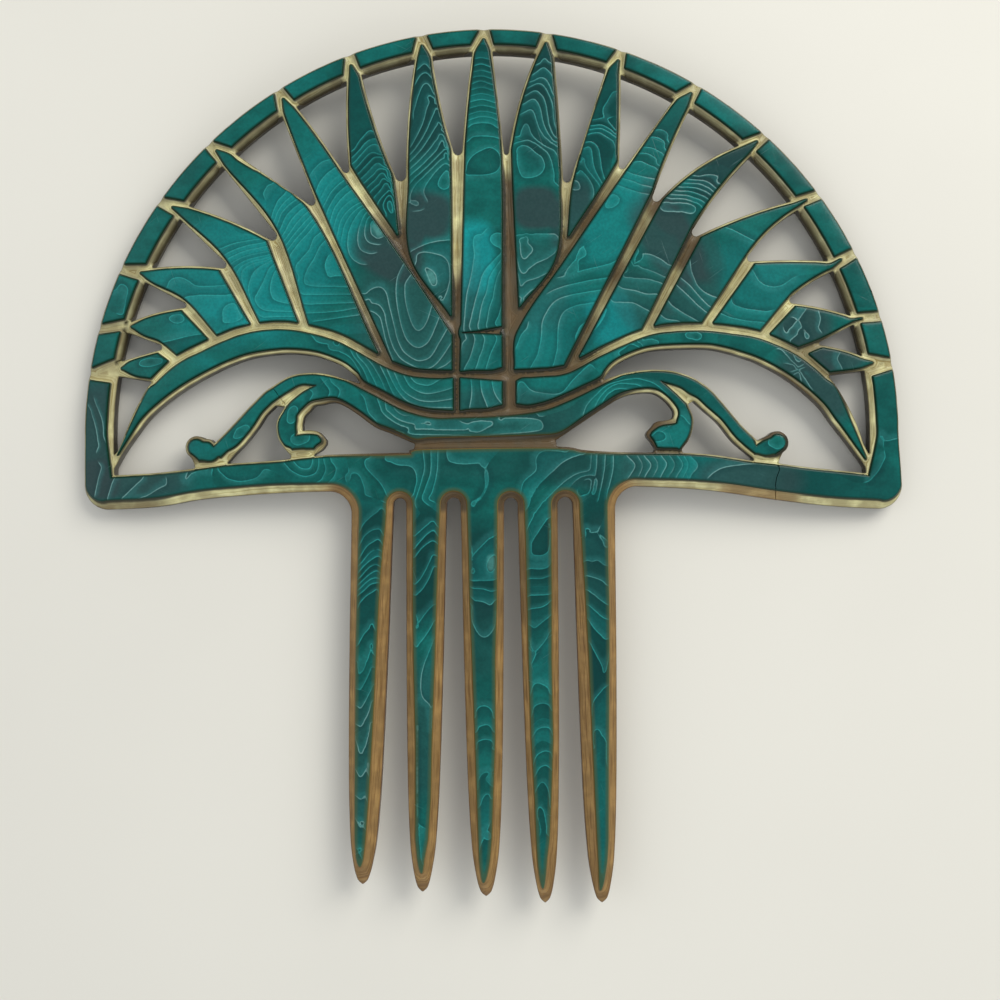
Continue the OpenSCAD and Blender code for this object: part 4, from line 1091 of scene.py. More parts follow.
FOLDS["ray_face_9"] = [
    (12, 472, 66.9, 480.7, 63.9, 490, 66.9), (9, 470.9, 84.3, 480.7, 81.2, 492.6, 84.7),
    (6, 469.9, 102.1, 481.8, 99.5, 494.1, 102.5),
    (3, 468.8, 120.3, 479.6, 117, 491.5, 117.7, 495.2, 119.5),
    (2, 467.7, 127.6, 472, 124.5, 480, 123, 490.5, 123.6, 495.5, 126.5),
    (1, 468.1, 140.7, 473.1, 136.8, 490.5, 136.3, 499.6, 138.9),
    (0, 466.2, 174.9, 467, 164.1, 473.1, 155.4, 481.8, 150, 490.5, 147.6, 498.7, 153.2,
     500.4, 164.1, 495.9, 171.7, 483.9, 174.9, 466.2, 174.9),
    (-0.5, 482.9, 161.9), (0.5, 461.2, 184.7, 479.6, 184.7, 499.1, 184.7),
    (0.5, 460.5, 220.5, 479.6, 221.5, 500.2, 221.5),
    (1, 482.9, 233.5, 474.8, 236.1, 473.3, 244.3, 474.2, 255.1, 471.4, 274.7, 466.6, 296.3,
     464, 325.6),
    (2, 496.5, 233, 490.7, 236.7, 492.6, 243.9, 500.9, 249.1, 500.9, 253.4, 492.6, 261.6,
     483.1, 273.6, 479.2, 286.6, 474.2, 305, 469.2, 326.7),
    (3, 502.6, 257.7, 494.8, 268.2, 489.4, 277.9, 486.5, 292, 481.8, 305, 477.9, 326.3),
    (4, 503, 267.1, 498, 274.7, 494.8, 286.6, 493.1, 297.4, 489.4, 308.3, 486.5, 326.3),
    (5, 503.5, 285.5, 502.4, 300.7, 499.6, 312.6, 495.2, 323.4),
    (1, 466.2, 339.3, 462.7, 343, 461.4, 348.4),
    (2, 474.8, 338.6, 472.7, 349.5, 469.2, 359.2, 464.9, 367.5),
    (3, 484.6, 338.6, 483.1, 347.3, 479.6, 357.1, 476.4, 366.8),
    (4, 496.5, 337.1, 495.4, 343, 491.5, 351.6, 486.5, 366.2),
]
FOLDS["ray_face_10"] = [
    (1, 539.7, 63.3, 544.2, 58.4, 548.4, 61.9), (2, 536.8, 71.7, 543.5, 67.5, 549.1, 71.7),
    (3, 534, 80.6, 540, 77.8, 546.3, 80.2, 549.4, 85.1, 552.2, 92.8),
    (4, 531.1, 86.2, 536.5, 83.7, 543.5, 85.8, 547.7, 92.1, 551.6, 101.2),
    (5, 528.5, 93.8, 533.7, 91, 540, 93.5, 544.2, 99.1, 547, 110.3, 549.1, 124.4, 552.6, 133.5),
    (6, 526.4, 102.2, 532.3, 99.1, 537.2, 101.9, 540.7, 110.3, 543.5, 123, 547.7, 132.8,
     553.3, 140.5),
    (7, 525, 112, 530.2, 109.6, 533.7, 112.4, 535.8, 118.8, 539.3, 128.6, 544.9, 137,
     553.3, 143.7),
    (8, 519.4, 136.3, 522.4, 128.6, 526.4, 123.7, 528.8, 126.5, 531.6, 134.2, 537.9, 141.2,
     546.3, 146.8, 553.6, 150.3),
    (9, 518.9, 141.9, 528.1, 140.1, 535.1, 143.3, 542.1, 148.2, 549.1, 155.2, 553.3, 169.3,
     554.4, 181.9),
    (10, 517.5, 148.2, 522.4, 145.4, 528.1, 146.8, 535.1, 152.4, 542.1, 158, 544.6, 165.1,
     542.1, 172.1, 533.7, 177, 523.2, 177, 518.9, 169.3, 517.1, 159.4, 517.5, 148.2),
    (10.5, 528.1, 162.2), (9.5, 519.6, 190.3, 553.3, 190.3), (9.5, 519.6, 218.4, 553.3, 218.4),
    (10, 517.1, 235.1, 535.1, 233.9, 555, 234.2),
    (11, 520.5, 238.4, 526, 236.2, 527.5, 242.6, 532.7, 248.9, 528.8, 255, 522.4, 257.8,
     520.5, 249.6, 520.5, 238.4),
    (11.5, 524.6, 247.5), (10.5, 544.9, 245.4),
    (10, 516.6, 257.4, 521, 272.4, 528.1, 269.3, 536.5, 263, 547.7, 258.1, 554.7, 252.7),
    (9, 518, 273.5, 521, 286.4, 526.7, 281.2, 539.3, 277, 552.6, 269.6),
    (8, 518.9, 295.9, 521.7, 304.6, 526.7, 294.5, 533.7, 288.9, 542.8, 284.4),
    (7.6, 519.6, 314.2),
]
FOLDS["ray_face_11"] = [
    (0.5, 614.4, 75.3, 615.1, 82.3), (0.5, 601, 96.3, 606.6, 92.1), (0.6, 596.8, 113.1),
    (1, 612.2, 92.8, 606.9, 101.9, 603.1, 108.9, 604.1, 117.3, 609.4, 123, 613.9, 128.6),
    (1.4, 611.5, 111.7), (2, 592.3, 125.5, 601, 125.1, 609.4, 128.9, 613.9, 133.1),
    (3, 591.5, 129.4, 601, 128.6, 610.8, 133.6, 613.9, 135.9),
    (4, 590.5, 133.6, 598.2, 132.8, 606.6, 137, 613, 141.5),
    (5, 587, 141.9, 592.6, 142.6, 596.8, 146.1, 599.3, 152.4, 600.5, 160.8, 602.1, 170.7,
     604.5, 178.4),
    (6, 584.2, 148.2, 588.7, 146.8, 591.5, 150.3, 593, 162.2, 596.8, 173.5, 601.7, 182.6),
    (7, 580.7, 162.2, 582.8, 156.9, 584.9, 161.1, 586.7, 168.1, 591.9, 175.2, 598.8, 184),
    (8, 577.5, 173.5, 580.5, 170, 584.5, 173.5, 589.8, 180.5, 593.2, 188.2, 593.7, 193.8),
    (9, 570.4, 185, 571, 181.3, 574.6, 180.5, 579.4, 184.7, 579.7, 188.9, 575.8, 190,
     571.8, 188.3, 570.4, 185),
    (9.4, 575.1, 185.1), (8.6, 578.6, 195.9), (8.6, 573, 218.4), (8.6, 565.9, 243.6),
]
FOLDS["ray_face_12"] = [
    (0.5, 685.2, 96.3), (0.5, 674, 106.1), (0.6, 661.4, 120.2, 671.2, 125.8),
    (1, 652.2, 130.7, 661.4, 130, 667.7, 134.2, 667.3, 139.8),
    (2, 647.3, 137, 657.1, 137.7, 664.2, 141.9, 664.4, 148.2),
    (3, 640.3, 146.8, 651.5, 148.2, 662.1, 153.1),
    (4, 637.2, 153.1, 647.3, 153.8, 656.4, 159.4, 657.4, 164.4),
    (5, 633.3, 162.2, 640.3, 161.5, 648.7, 165.1, 655.5, 167.6),
    (6, 627, 171.8, 634.7, 174.9, 643.1, 177, 652.2, 178.8),
    (7, 621.8, 178, 631.9, 181.2, 641.7, 185, 650.4, 186.8),
    (8, 618.1, 185.4, 626.3, 188.6, 637.5, 192, 649.4, 194.5), (8.5, 629.1, 207.1),
    (9, 605.5, 205.5, 608.7, 198, 612.2, 194.5, 616.7, 195.6, 619.3, 201.3, 613, 207.1,
     605.5, 205.5),
    (9.5, 613, 200.8), (8.5, 615.1, 225.4), (8.5, 598.2, 246.4),
    (9, 576.5, 256.5, 578.6, 252, 584.2, 244.8, 585, 250.6, 582.8, 257, 576.5, 256.5),
    (9.4, 581.7, 252.8), (9, 563.8, 276.6, 566.2, 271.4, 573, 262.3),
    (9, 563.8, 276.6, 573, 274.2, 584.2, 270, 598.2, 266.8, 610.8, 263.4, 617.6, 260.2),
    (9.4, 570.2, 270.7), (10, 552.6, 290.6, 565.9, 285.8, 584.2, 281.6, 608.7, 277.7),
    (11, 533.4, 362.6, 537.9, 353.5, 541.4, 336.6, 542.1, 323.3, 546.3, 312.8, 553.3, 303,
     563.1, 297.3, 581.4, 293.1, 598.9, 290.3),
    (12, 554, 362.6, 557.2, 349.3, 557.8, 333.8, 559.2, 321.2, 564.5, 311.4, 575.8, 305.8,
     591.2, 303),
    (13, 576.5, 333.8, 580, 326.8, 585.9, 321.2), (10, 518, 343, 521, 335.2, 526.7, 328.5),
    (10.5, 526.7, 353.5),
]
FOLDS["ray_face_13"] = [
    (0.5, 718.9, 169.3), (1, 698.5, 176.3, 710.5, 174.6, 718.3, 177, 717.2, 182.6),
    (3, 689.1, 183.6, 699.2, 184, 709.3, 188.2), (5, 678.9, 191, 690.8, 191.7, 703.7, 196.2),
    (7, 670.5, 198.7, 683.8, 199, 698.1, 203.8),
    (8, 660.2, 206, 662.8, 202.4, 675.4, 202.9, 688, 203.6, 695, 207.1, 695, 211.4, 690.8, 213.5,
     681, 211.6, 668.4, 211.4, 661.4, 209.3, 660.2, 206),
    (8.5, 676.8, 207.1), (7.6, 657.1, 221.2, 686.6, 222.6), (7.6, 647.3, 243.6, 675.4, 245),
    (8, 634.4, 263.7, 636.8, 254.7, 648.7, 254.1, 658.6, 258.1, 669.5, 265.1),
    (9, 632.6, 263.4, 640.3, 267.3, 651.5, 271, 664.2, 276.6),
    (10, 623.5, 276.6, 634.7, 278.4, 647.3, 279.1, 660.7, 282.8),
    (11, 619, 286.1, 622.1, 288.2, 633.3, 290.3, 645.9, 293.8, 655.7, 294),
    (12, 613, 301.8, 623.5, 302.3, 633.3, 303, 641.7, 307.2, 649, 311.1),
    (13, 606.6, 308.6, 604.1, 317, 598.2, 325.4, 589.8, 335.2, 579.3, 350), (12.5, 619.3, 319.8),
]
FOLDS["ray_face_14"] = [
    (0.5, 784.4, 203), (0.5, 759.5, 222.9),
    (1, 723.8, 227, 731.3, 229.5, 741.2, 234.5, 752.2, 240.1), (1.5, 718, 249.4),
    (1.5, 734.6, 256), (2, 689.8, 258.5, 691.5, 270.9, 697.3, 285, 704.8, 292.5, 712.7, 296.1),
    (3, 680.7, 277.6, 689.8, 285.5, 699.8, 297.1, 708.9, 306.1),
    (4, 676.6, 285, 686.5, 294.2, 698.1, 305.4, 706.8, 312.4),
    (5, 668.6, 301.6, 672.4, 306.1, 684.9, 314, 697.3, 321),
    (6, 660, 314, 666.6, 319, 678.2, 320.7),
]
FOLDS["ray_face_15"] = [
    (0.5, 832.4, 263.5), (0.5, 776.1, 266),
    (1, 752.9, 270.9, 759.5, 281.7, 769.4, 286.7, 781, 285.9, 791, 279.2), (1.5, 759.5, 295.8),
    (2, 731.3, 298.3, 733.3, 304.1, 746.2, 309.1, 766.1, 311.6),
    (3, 718.9, 312.4, 729.6, 317.4, 746.2, 320.7, 761.1, 322.3), (3.5, 742.9, 327.3),
    (1.4, 786, 289.2),
]
FOLDS["ray_face_16"] = [
    (0.5, 845.7, 318.2), (1, 818.3, 310.7, 820.5, 319, 818.3, 327.3), (1.5, 812.5, 319),
    (2, 788.5, 331.5, 794.3, 324, 800.9, 316.5, 805.9, 309.1),
    (2, 809.2, 336.4, 806.7, 332.6, 800.9, 328.1, 794.6, 336.4, 791, 339.3), (2.6, 792.6, 331.5),
    (2.8, 776.1, 333.9),
]
FOLDS["ray_face_17"] = [
    (0.5, 865.6, 361.3), (1, 839.9, 353, 837.4, 358.8, 840.7, 365.5), (1.5, 825.8, 357.2),
    (1.6, 809.2, 352.2),
]
FOLDS["rim_panel_13"] = [
    (0.5, 850.7, 266), (1, 855.7, 287.5, 862.3, 292.5, 868.9, 285.9), (1.5, 865.6, 302.4),
    (0.5, 847.4, 275.9),
]
FOLDS["rim_panel_15"] = [
    (0.5, 875.6, 345.6), (1, 865.6, 337.3, 873.1, 329, 875.6, 342.2), (0.5, 863.9, 322.3),
    (1.4, 870.6, 350.5),
]
FOLDS["rim_panel_2"] = [
    (0.5, 111.5, 317.7), (1, 115.7, 290, 121, 284.3, 127.7, 289, 125.3, 302.4, 123, 313.9),
    (1.5, 119.1, 304.4), (0.5, 130.6, 279.5),
]
FOLDS["scroll_face"] = [
    (0.5, 192.6, 450.9),
    (1, 233.5, 437.5, 236.3, 430.2, 245.4, 425.1, 249.6, 427.9, 245.4, 434.8, 236.7, 438.5,
     233.5, 437.5),
    (1.5, 241.3, 432), (0.5, 220.2, 452, 224.8, 444), (0.5, 261.5, 421, 256.9, 407.2),
    (0.5, 284.5, 386.6, 293.7, 377.4), (0.5, 289.1, 400.3),
    (1, 308.6, 388.4, 312.9, 393, 310.2, 399.2), (2, 324.6, 383.1, 329.7, 391.2, 326.3, 400.8),
    (3, 331.5, 382.4, 340, 390.7, 336.1, 400.8),
    (1, 287.2, 421, 288.6, 410, 293.2, 405.9, 297.3, 411.4, 295, 420.6), (1.4, 292.7, 415.3),
    (1, 291.4, 436.6, 300.5, 431.3, 308.6, 433.6, 307.9, 441.2, 298.2, 445.1),
    (1.5, 300.5, 438.2), (0.5, 316.6, 444), (4, 364.8, 399.2, 368.3, 411.8, 374, 418.7),
    (5, 379.1, 403.1, 383.2, 413, 393.5, 421.5, 408.4, 427.9),
    (6, 386.6, 410, 398.1, 419.2, 413, 423.8, 431.4, 424.5),
    (5, 394.7, 430.2, 413, 434.1, 436, 434.8, 470, 435.9),
    (6, 415.3, 429, 436, 429.7, 470, 430.2), (6.5, 442.9, 426.1),
    (6, 466.4, 423.5, 480.4, 420.9, 492.7, 422.4, 488.6, 427, 477.9, 432.1, 470.2, 431.6,
     466.4, 423.5),
    (6.5, 479.1, 426.5), (5.5, 462.6, 416.3, 495.7, 416.8),
    (5, 475.3, 436.7, 498.3, 434.2, 536.5, 431.1, 542.9, 426, 539.1, 420.2, 523.8, 418.1,
     498.3, 418.4),
    (5.5, 516.1, 426), (4.5, 556.9, 426.5),
    (4, 581.9, 418.4, 587, 404.8, 595.2, 395.9, 606.7, 385.7, 623.3, 380.1),
    (3, 592.7, 412.5, 599, 399, 608, 388.8, 618.2, 383.7, 636, 384.4),
    (2, 601.6, 404.8, 606.9, 394.9, 618.2, 389, 631.4, 389.8),
    (4, 638.6, 378.6, 653.9, 383.2, 665.4, 392.1), (4.5, 659, 378.1, 684.5, 383.2),
    (4.5, 699.8, 395.9), (4.6, 727.9, 424),
    (5, 768.7, 444.4, 769.9, 436.2, 777.6, 433.7, 784.5, 438, 784.5, 444.9, 777.6, 449,
     768.7, 444.4),
    (5.5, 777.1, 441.3), (4.5, 758.5, 452),
    (4, 667.9, 426.5, 671.7, 417.6, 681.9, 415.8, 688.3, 422.7), (3.5, 679.4, 426.5),
    (3, 651.3, 436.7, 657.7, 431.1, 664.1, 432.9, 664.1, 439.8, 655.2, 441.8), (2.6, 659, 436.7),
]

# How the lines are drawn, in millimetres
LINE_STEP = 0.9  # spacing of the points along one
LINE_PARTS = 6  # fewest steps in a short one
LOOSE = 0.03  # how loosely the layer follows them
INK_REACH = 1.35  # from a drawn line, how far a line of the layer may show
INK_FADE = 0.5  # over how much it fades there
LINE_WIDTH = 0.14


def drawn(pixels):
    """Points along a drawn line on the comb: a cubic between each two of its places, with end
    directions half way between their neighbours, at about even steps."""
    line = seen(pixels)
    if len(line) == 1:
        return line
    length = np.linalg.norm(np.diff(line, axis=0), axis=1)
    way = np.gradient(line, axis=0)
    side, t = even_steps(length, min(LINE_STEP, length.sum() / LINE_PARTS))
    curve = cubic(line[side], way[side], line[side + 1], way[side + 1], t)
    return np.concatenate([curve, line[-1:]])


def bumps(away):
    """Square of the distance times its logarithm, the height of a thin bent plate over one
    loaded point, and its slope across and up."""
    square = (away**2).sum(-1) + 1e-9
    log = np.log(square)
    return square * log, 2 * away * (log + 1)[..., None]


def lines_of(plan, rows, size=4000):
    """Level of the folded layer at points of the drawing, how fast it changes in each millimetre
    and how near a drawn line is. The level is the height of a thin plate bent to pass close to
    every drawn line at that line's level: a slope plus one bump for each drawn point, weighted
    to fit. A face with no rows has one level and no lines."""
    if not rows:
        return np.full(len(plan), 0.5), np.ones(len(plan)), np.zeros(len(plan))
    lines = [drawn(np.reshape(row[1:], (-1, 2))) for row in rows]
    held = np.concatenate(lines)
    wanted = np.concatenate([np.full(len(line), row[0]) for line, row in zip(lines, rows)])
    n = len(held)
    bump, _ = bumps(held[:, None] - held[None])
    slope = np.column_stack([np.ones(n), held])
    matrix = np.block([[bump + LOOSE * np.eye(n), slope], [slope.T, np.zeros((3, 3))]])
    weight = np.linalg.solve(matrix, np.concatenate([wanted, np.zeros(3)]))
    level, rate, ink = np.zeros((3, len(plan)))
    whole = wanted == np.round(wanted)
    for k in range(0, len(plan), size):
        block = slice(k, k + size)
        away = plan[block][:, None] - held[None]
        near = np.sqrt((away[:, whole] ** 2).sum(-1).min(1)) if whole.any() else SEARCH
        ink[block] = np.clip((INK_REACH - near) / INK_FADE, 0, 1)
        bump, rise = bumps(away)
        level[block] = bump @ weight[:n] + weight[n] + plan[block] @ weight[n + 1 :]
        change = np.einsum("ijk,j->ik", rise, weight[:n]) + weight[n + 1 :]
        rate[block] = np.linalg.norm(change, axis=1)
    return level, rate, ink


# ---------------------------------------------------------------- patches of colour

# Where the teal has painted light and shade (brighter or darker), painted reflection and shade
# (grey) and pale spots, and where the amber has painted shade (brown or golden): x, y, half width
# and half height in pixels of the photograph, turn in degrees, amount
# painted light and shade: patches where the teal is painted brighter or darker
LIGHT_AND_SHADE = [
    (474, 256, 26, 44, 0, 0.95), (476, 290, 24, 36, 0, 0.3), (487, 60, 22, 44, 0, -0.6),
    (250, 270, 130, 90, 30, 0.55), (335, 205, 30, 70, 25, 0.3), (400, 300, 90, 90, 0, -0.1),
    (424, 100, 36, 70, 0, -1), (424, 160, 34, 36, 0, -0.3), (541, 100, 30, 80, 0, -0.9),
    (366, 140, 26, 110, 15, -0.95), (612, 222, 40, 60, -30, 0.35),
    (600, 130, 26, 110, -15, -0.75), (575, 330, 60, 50, 0, 0.1), (665, 125, 46, 40, 30, -0.6),
    (726, 165, 50, 34, 40, -1), (700, 205, 36, 30, 40, -0.4), (612, 318, 30, 34, 20, 0.7),
    (765, 275, 60, 50, 0, 0.2), (440, 262, 20, 26, 0, 0.3), (90, 430, 40, 100, 0, -0.5),
    (240, 480, 110, 30, 0, -0.2), (490, 465, 160, 30, 0, -0.35), (230, 345, 50, 26, -20, -0.35),
    (650, 380, 44, 24, 0, -0.4), (130, 480, 70, 30, 0, -0.4), (840, 485, 80, 30, 0, -0.75),
    (370, 570, 30, 90, 0, -0.8), (425, 560, 30, 80, 0, -0.7), (484, 570, 30, 60, 0, -0.6),
    (543, 600, 30, 110, 0, -0.6), (600, 600, 30, 150, 0, -1), (484, 690, 30, 90, 0, -0.45),
    (430, 740, 26, 100, 0, -0.3), (364, 760, 26, 100, 0, -0.2), (543, 740, 26, 110, 0, -0.4),
    (485, 820, 20, 60, 0, -0.4), (600, 790, 24, 90, 0, -0.7), (490, 570, 140, 80, 0, -0.3),
    (885, 400, 24, 90, 0, -0.25), (560, 470, 60, 24, 0, -0.25), (540, 680, 22, 26, 0, 0.5),
    (440, 350, 70, 30, 0, -0.1), (160, 200, 90, 130, 35, -0.3), (560, 60, 200, 40, 10, -0.2),
]
# painted reflection and shade: patches where the teal is painted grey
REFLECTED_GREY = [
    (428, 215, 32, 30, -8, 1), (536, 208, 28, 27, 0, 1.2), (385, 255, 46, 26, -28, 0.7),
    (412, 240, 14, 22, 0, 0.7), (650, 470, 40, 24, 0, 0.3), (420, 310, 84, 84, 0, 0.5),
    (535, 285, 44, 60, 0, 0.4), (572, 215, 22, 46, -15, 0.75), (667, 240, 34, 62, 32, 0.85),
    (640, 300, 34, 44, 30, 0.4), (702, 252, 22, 40, 25, 0.4), (692, 298, 40, 34, 0, 0.45),
    (803, 330, 40, 30, 0, 0.8), (835, 356, 40, 20, 0, 0.8), (812, 388, 56, 34, -45, 0.8),
    (100, 440, 26, 80, 0, 0.75), (130, 480, 80, 24, 0, 0.7), (750, 480, 70, 28, 0, 0.8),
    (425, 110, 34, 90, 0, 0.2), (541, 100, 28, 90, 0, 0.2), (485, 415, 130, 34, 0, 0.4),
    (364, 770, 24, 90, 0, 0.45), (424, 730, 24, 90, 0, 0.35), (484, 640, 24, 50, 0, 0.2),
    (470, 460, 110, 24, 0, 0.15), (600, 470, 70, 26, 0, 0.3), (668, 200, 26, 40, 32, 0.5),
    (600, 560, 20, 60, 0, 0.2), (726, 165, 50, 34, 40, 0.4),
]
PALE = [(377.5, 229.5, 5, 9, 30, 1.0), (431.5, 277, 5, 9, 20, 1.0), (491, 563, 5, 10, 0, 0.8)]
# painted shade: brown patches where the amber is darkened as if little light passes through it; a
# negative amount paints a lighter strip
BROWN_SHADE = [
    (480, 310, 170, 150, 0, 0.75), (480, 420, 210, 60, 0, 0.9), (505, 260, 60, 130, 0, 0.6),
    (457, 200, 9, 100, 0, -1), (776, 440, 20, 24, 0, 0.8), (200, 448, 20, 20, 0, 0.6),
    (660, 440, 40, 30, 0, 0.6), (650, 250, 70, 120, 30, 0.5), (400, 130, 50, 90, 0, 0.3),
    (545, 110, 50, 90, 0, 0.4), (120, 500, 70, 30, 0, 0.5), (820, 375, 60, 60, 0, 0.6),
    (700, 240, 40, 80, 30, 0.4), (484, 560, 150, 90, 0, 0.4), (482, 497, 125, 18, 0, 0.5),
]
# painted shade: golden-brown amber on the teeth and along the bar, darker than the straw
GOLDEN_TEETH = (480, 700, 230, 330, 0, 1.2)
GOLDEN_SHADE = [GOLDEN_TEETH, (480, 520, 200, 60, 0, 0.6), (760, 495, 60, 24, 0, 0.5)]


def patches(plan, rows):
    """Sum of soft patches: each is its amount times a smooth step down, from 0.55 of the way out
    to its edge, at the stretched distance from its middle, taken by third powers so that it is
    squarer than an ellipse."""
    total = np.zeros(len(plan))
    for x, y, wide, high, turn, amount in rows:
        away = (plan - seen((x, y))) / PIXEL
        c, s = math.cos(math.radians(turn)), math.sin(math.radians(turn))
        r = (np.abs(away @ [c, s] / wide) ** 3 + np.abs(away @ [-s, c] / high) ** 3) ** (1 / 3)
        total += amount * (1 - soft_step(np.clip(2.2 * r - 1.2, 0, 1)))
    return np.clip(total, -1, 1)


# ---------------------------------------------------------------- finishes

# Colours of the teal: its own two tones; painted light and shade in patches; lighter and darker
# bands between lines; painted grey reflection and shade; the shade and the glow beside a line; a
# line, and one in the painted grey; a pale spot; specks; the rim and the bevel of a face, and both
# on the teeth; scratches; cracks
TEAL_TONES = (0.001, 0.086, 0.07, 1), (0.003, 0.125, 0.103, 1)
TEAL_LIT, TEAL_SHADED = (0.006, 0.3, 0.3, 1), (0.0, 0.03, 0.027, 1)
BAND_LIGHT, BAND_DARK = (0.01, 0.25, 0.24, 1), (0.0, 0.035, 0.035, 1)
TEAL_REFLECTED_GREY = (0.024, 0.046, 0.046, 1)
LINE_SHADE, LINE_GLOW = (0.0, 0.03, 0.03, 1), (0.06, 0.38, 0.36, 1)
LINE_TONES = (0.03, 0.42, 0.38, 1), (0.28, 0.54, 0.5, 1)
SPOT_PALE = (0.1, 0.34, 0.3, 1)
SPECKS = (0.0, 0.02, 0.02, 1)
RIM_TONES = (0.001, 0.035, 0.022, 1), (0.05, 0.08, 0.032, 1)
BEVEL_TONES = (0.006, 0.026, 0.012, 1), (0.16, 0.11, 0.035, 1)
TEAL_SCRATCH = (0.1, 0.26, 0.25, 1)
CRACK_DARK = (0.004, 0.006, 0.004, 1)

# Colours of the amber, the first three in dark and light streaks: straw, and the painted shade in
# brown and golden; greyed beside the rim's teal; darker low in a groove, and dirt away from the
# teal; the knife line and its painted shadow; the painted shade on sawn walls, and on those on the
# teeth; scratches
STRAW = (0.47, 0.39, 0.13, 1), (0.84, 0.82, 0.42, 1)
SHADE_BROWN = (0.02, 0.015, 0.008, 1), (0.07, 0.058, 0.034, 1)
SHADE_GOLD = (0.2, 0.1, 0.027, 1), (0.4, 0.245, 0.08, 1)
AMBER_GREY = (0.27, 0.28, 0.19, 1)
GROOVE_BOTTOM_DARK, DIRT_AWAY = (0.2, 0.12, 0.04, 1), (0.11, 0.06, 0.018, 1)
KNIFE_AND_SHADOW_BLACK = (0.012, 0.014, 0.006, 1)
SAWN_SHADE_TONES = (0.034, 0.025, 0.01, 1), (0.07, 0.028, 0.009, 1)
AMBER_SCRATCH = (0.2, 0.13, 0.05, 1)

FLOOR_TONES = (0.68, 0.66, 0.58, 1), (0.72, 0.7, 0.615, 1)

# Noises, in waves to the metre, and gloss
TEAL_MOTTLE, TEAL_CLOUD, TEAL_SPECK = 260, 45, 2200
AMBER_MOTTLE, AMBER_CLOUD, AMBER_GRAIN, AMBER_STREAK = 320, 70, 900, 90
LINE_WOBBLE, LINE_UNEVEN = 650, 160
CELLULOID = 1.5  # index of refraction
TEAL_GLOSS, AMBER_GLOSS = 0.17, 0.32


def new_group(name, inputs, outputs):
    """Shader node group with named inputs (name, kind, value) and outputs (name, kind)."""
    group = bpy.data.node_groups.new(name, "ShaderNodeTree")
    for label, kind, value in inputs:
        socket = group.interface.new_socket(label, in_out="INPUT", socket_type="NodeSocket" + kind)
        socket.default_value = value
    for label, kind in outputs:
        group.interface.new_socket(label, in_out="OUTPUT", socket_type="NodeSocket" + kind)
    return group


class Nodes:
    """Short ways to add and join nodes in one tree."""

    def __init__(self, tree):
        self.tree = tree

    def add(self, kind, **values):
        node = self.tree.nodes.new("ShaderNode" + kind)
        for key, value in values.items():
            setattr(node, key, value)
        return node

    def put(self, value, socket):
        """A link where the value is another socket, otherwise the socket's own value."""
        if isinstance(value, bpy.types.NodeSocket):
            self.tree.links.new(value, socket)
        else:
            socket.default_value = value

    def math(self, operation, *values):
        node = self.add("Math", operation=operation)
        for value, socket in zip(values, node.inputs):
            self.put(value, socket)
        return node.outputs[0]

    def ramp(self, value, low, high, start=0.0, end=1.0, kind="SMOOTHSTEP"):
        """Start where the value is low or less, end where it is high or more."""
        node = self.add("MapRange", interpolation_type=kind)
        for socket, number in zip(node.inputs, (value, low, high, start, end)):
            self.put(number, socket)
        return node.outputs[0]

    def line(self, value, low, high, start, end):
        """As ramp, in a straight line between the two."""
        return self.ramp(value, low, high, start, end, "LINEAR")

    def spread(self, value, amount, middle=0.0):
        """The middle, plus the amount times how far a noise's value is from its own middle."""
        return self.math("MULTIPLY_ADD", self.math("SUBTRACT", value, 0.5), amount, middle)

    def blend(self, factor, a, b):
        node = self.add("Mix", data_type="RGBA")
        self.put(factor, node.inputs["Factor"])
        self.put(a, node.inputs[6])
        self.put(b, node.inputs[7])
        return node.outputs[2]

    def noise(self, scale, stretch=(1, 1, 1), detail=3.0, turn=0.0):
        """Noise on Object coordinates, so many waves to the metre, stretched along the turned
        axes."""
        mapping = self.add("Mapping", vector_type="TEXTURE")
        mapping.inputs["Scale"].default_value = [1 / value for value in stretch]
        mapping.inputs["Rotation"].default_value = (0, 0, turn)
        self.put(self.add("TexCoord").outputs["Object"], mapping.inputs["Vector"])
        node = self.add("TexNoise")
        self.put(mapping.outputs[0], node.inputs["Vector"])
        node.inputs["Scale"].default_value = scale
        node.inputs["Detail"].default_value = detail
        return node.outputs["Fac"]

    def attribute(self, name):
        return self.add("Attribute", attribute_name=name).outputs["Fac"]

    def group(self, tree, **values):
        node = self.add("Group")
        node.node_tree = tree
        for key, value in values.items():
            self.put(value, node.inputs[key])
        return node.outputs

    def relief(self, height, strength, shader):
        """Bump 0.2 mm deep at full strength, into the shader's normal."""
        bump = self.add("Bump")
        bump.inputs["Strength"].default_value = strength
        bump.inputs["Distance"].default_value = 0.2 * MM
        self.put(height, bump.inputs["Height"])
        self.put(bump.outputs[0], shader.inputs["Normal"])


def scratches_group():
    """Fine scratches and polish marks: three crossing sets of long stretched noise, each cut off
    just under its peaks, and broken up by a coarser noise."""
    group = new_group("Fine scratches", [("Amount", "Float", 1.0)], [("Mask", "Float")])
    n = Nodes(group)
    amount = group.nodes.new("NodeGroupInput").outputs["Amount"]
    marks = n.ramp(n.noise(150, (1, 22, 1), 1.0, 0.6), 0.7, 0.78)
    for turn, stretch in ((1.9, (1, 26, 1)), (-0.4, (1, 18, 1))):
        marks = n.math("MAXIMUM", marks, n.ramp(n.noise(130, stretch, 1.0, turn), 0.71, 0.8))
    marks = n.math("MULTIPLY", marks, n.ramp(n.noise(90, detail=2.0), 0.45, 0.65))
    n.put(n.math("MULTIPLY", marks, amount), group.nodes.new("NodeGroupOutput").inputs[0])
    return group


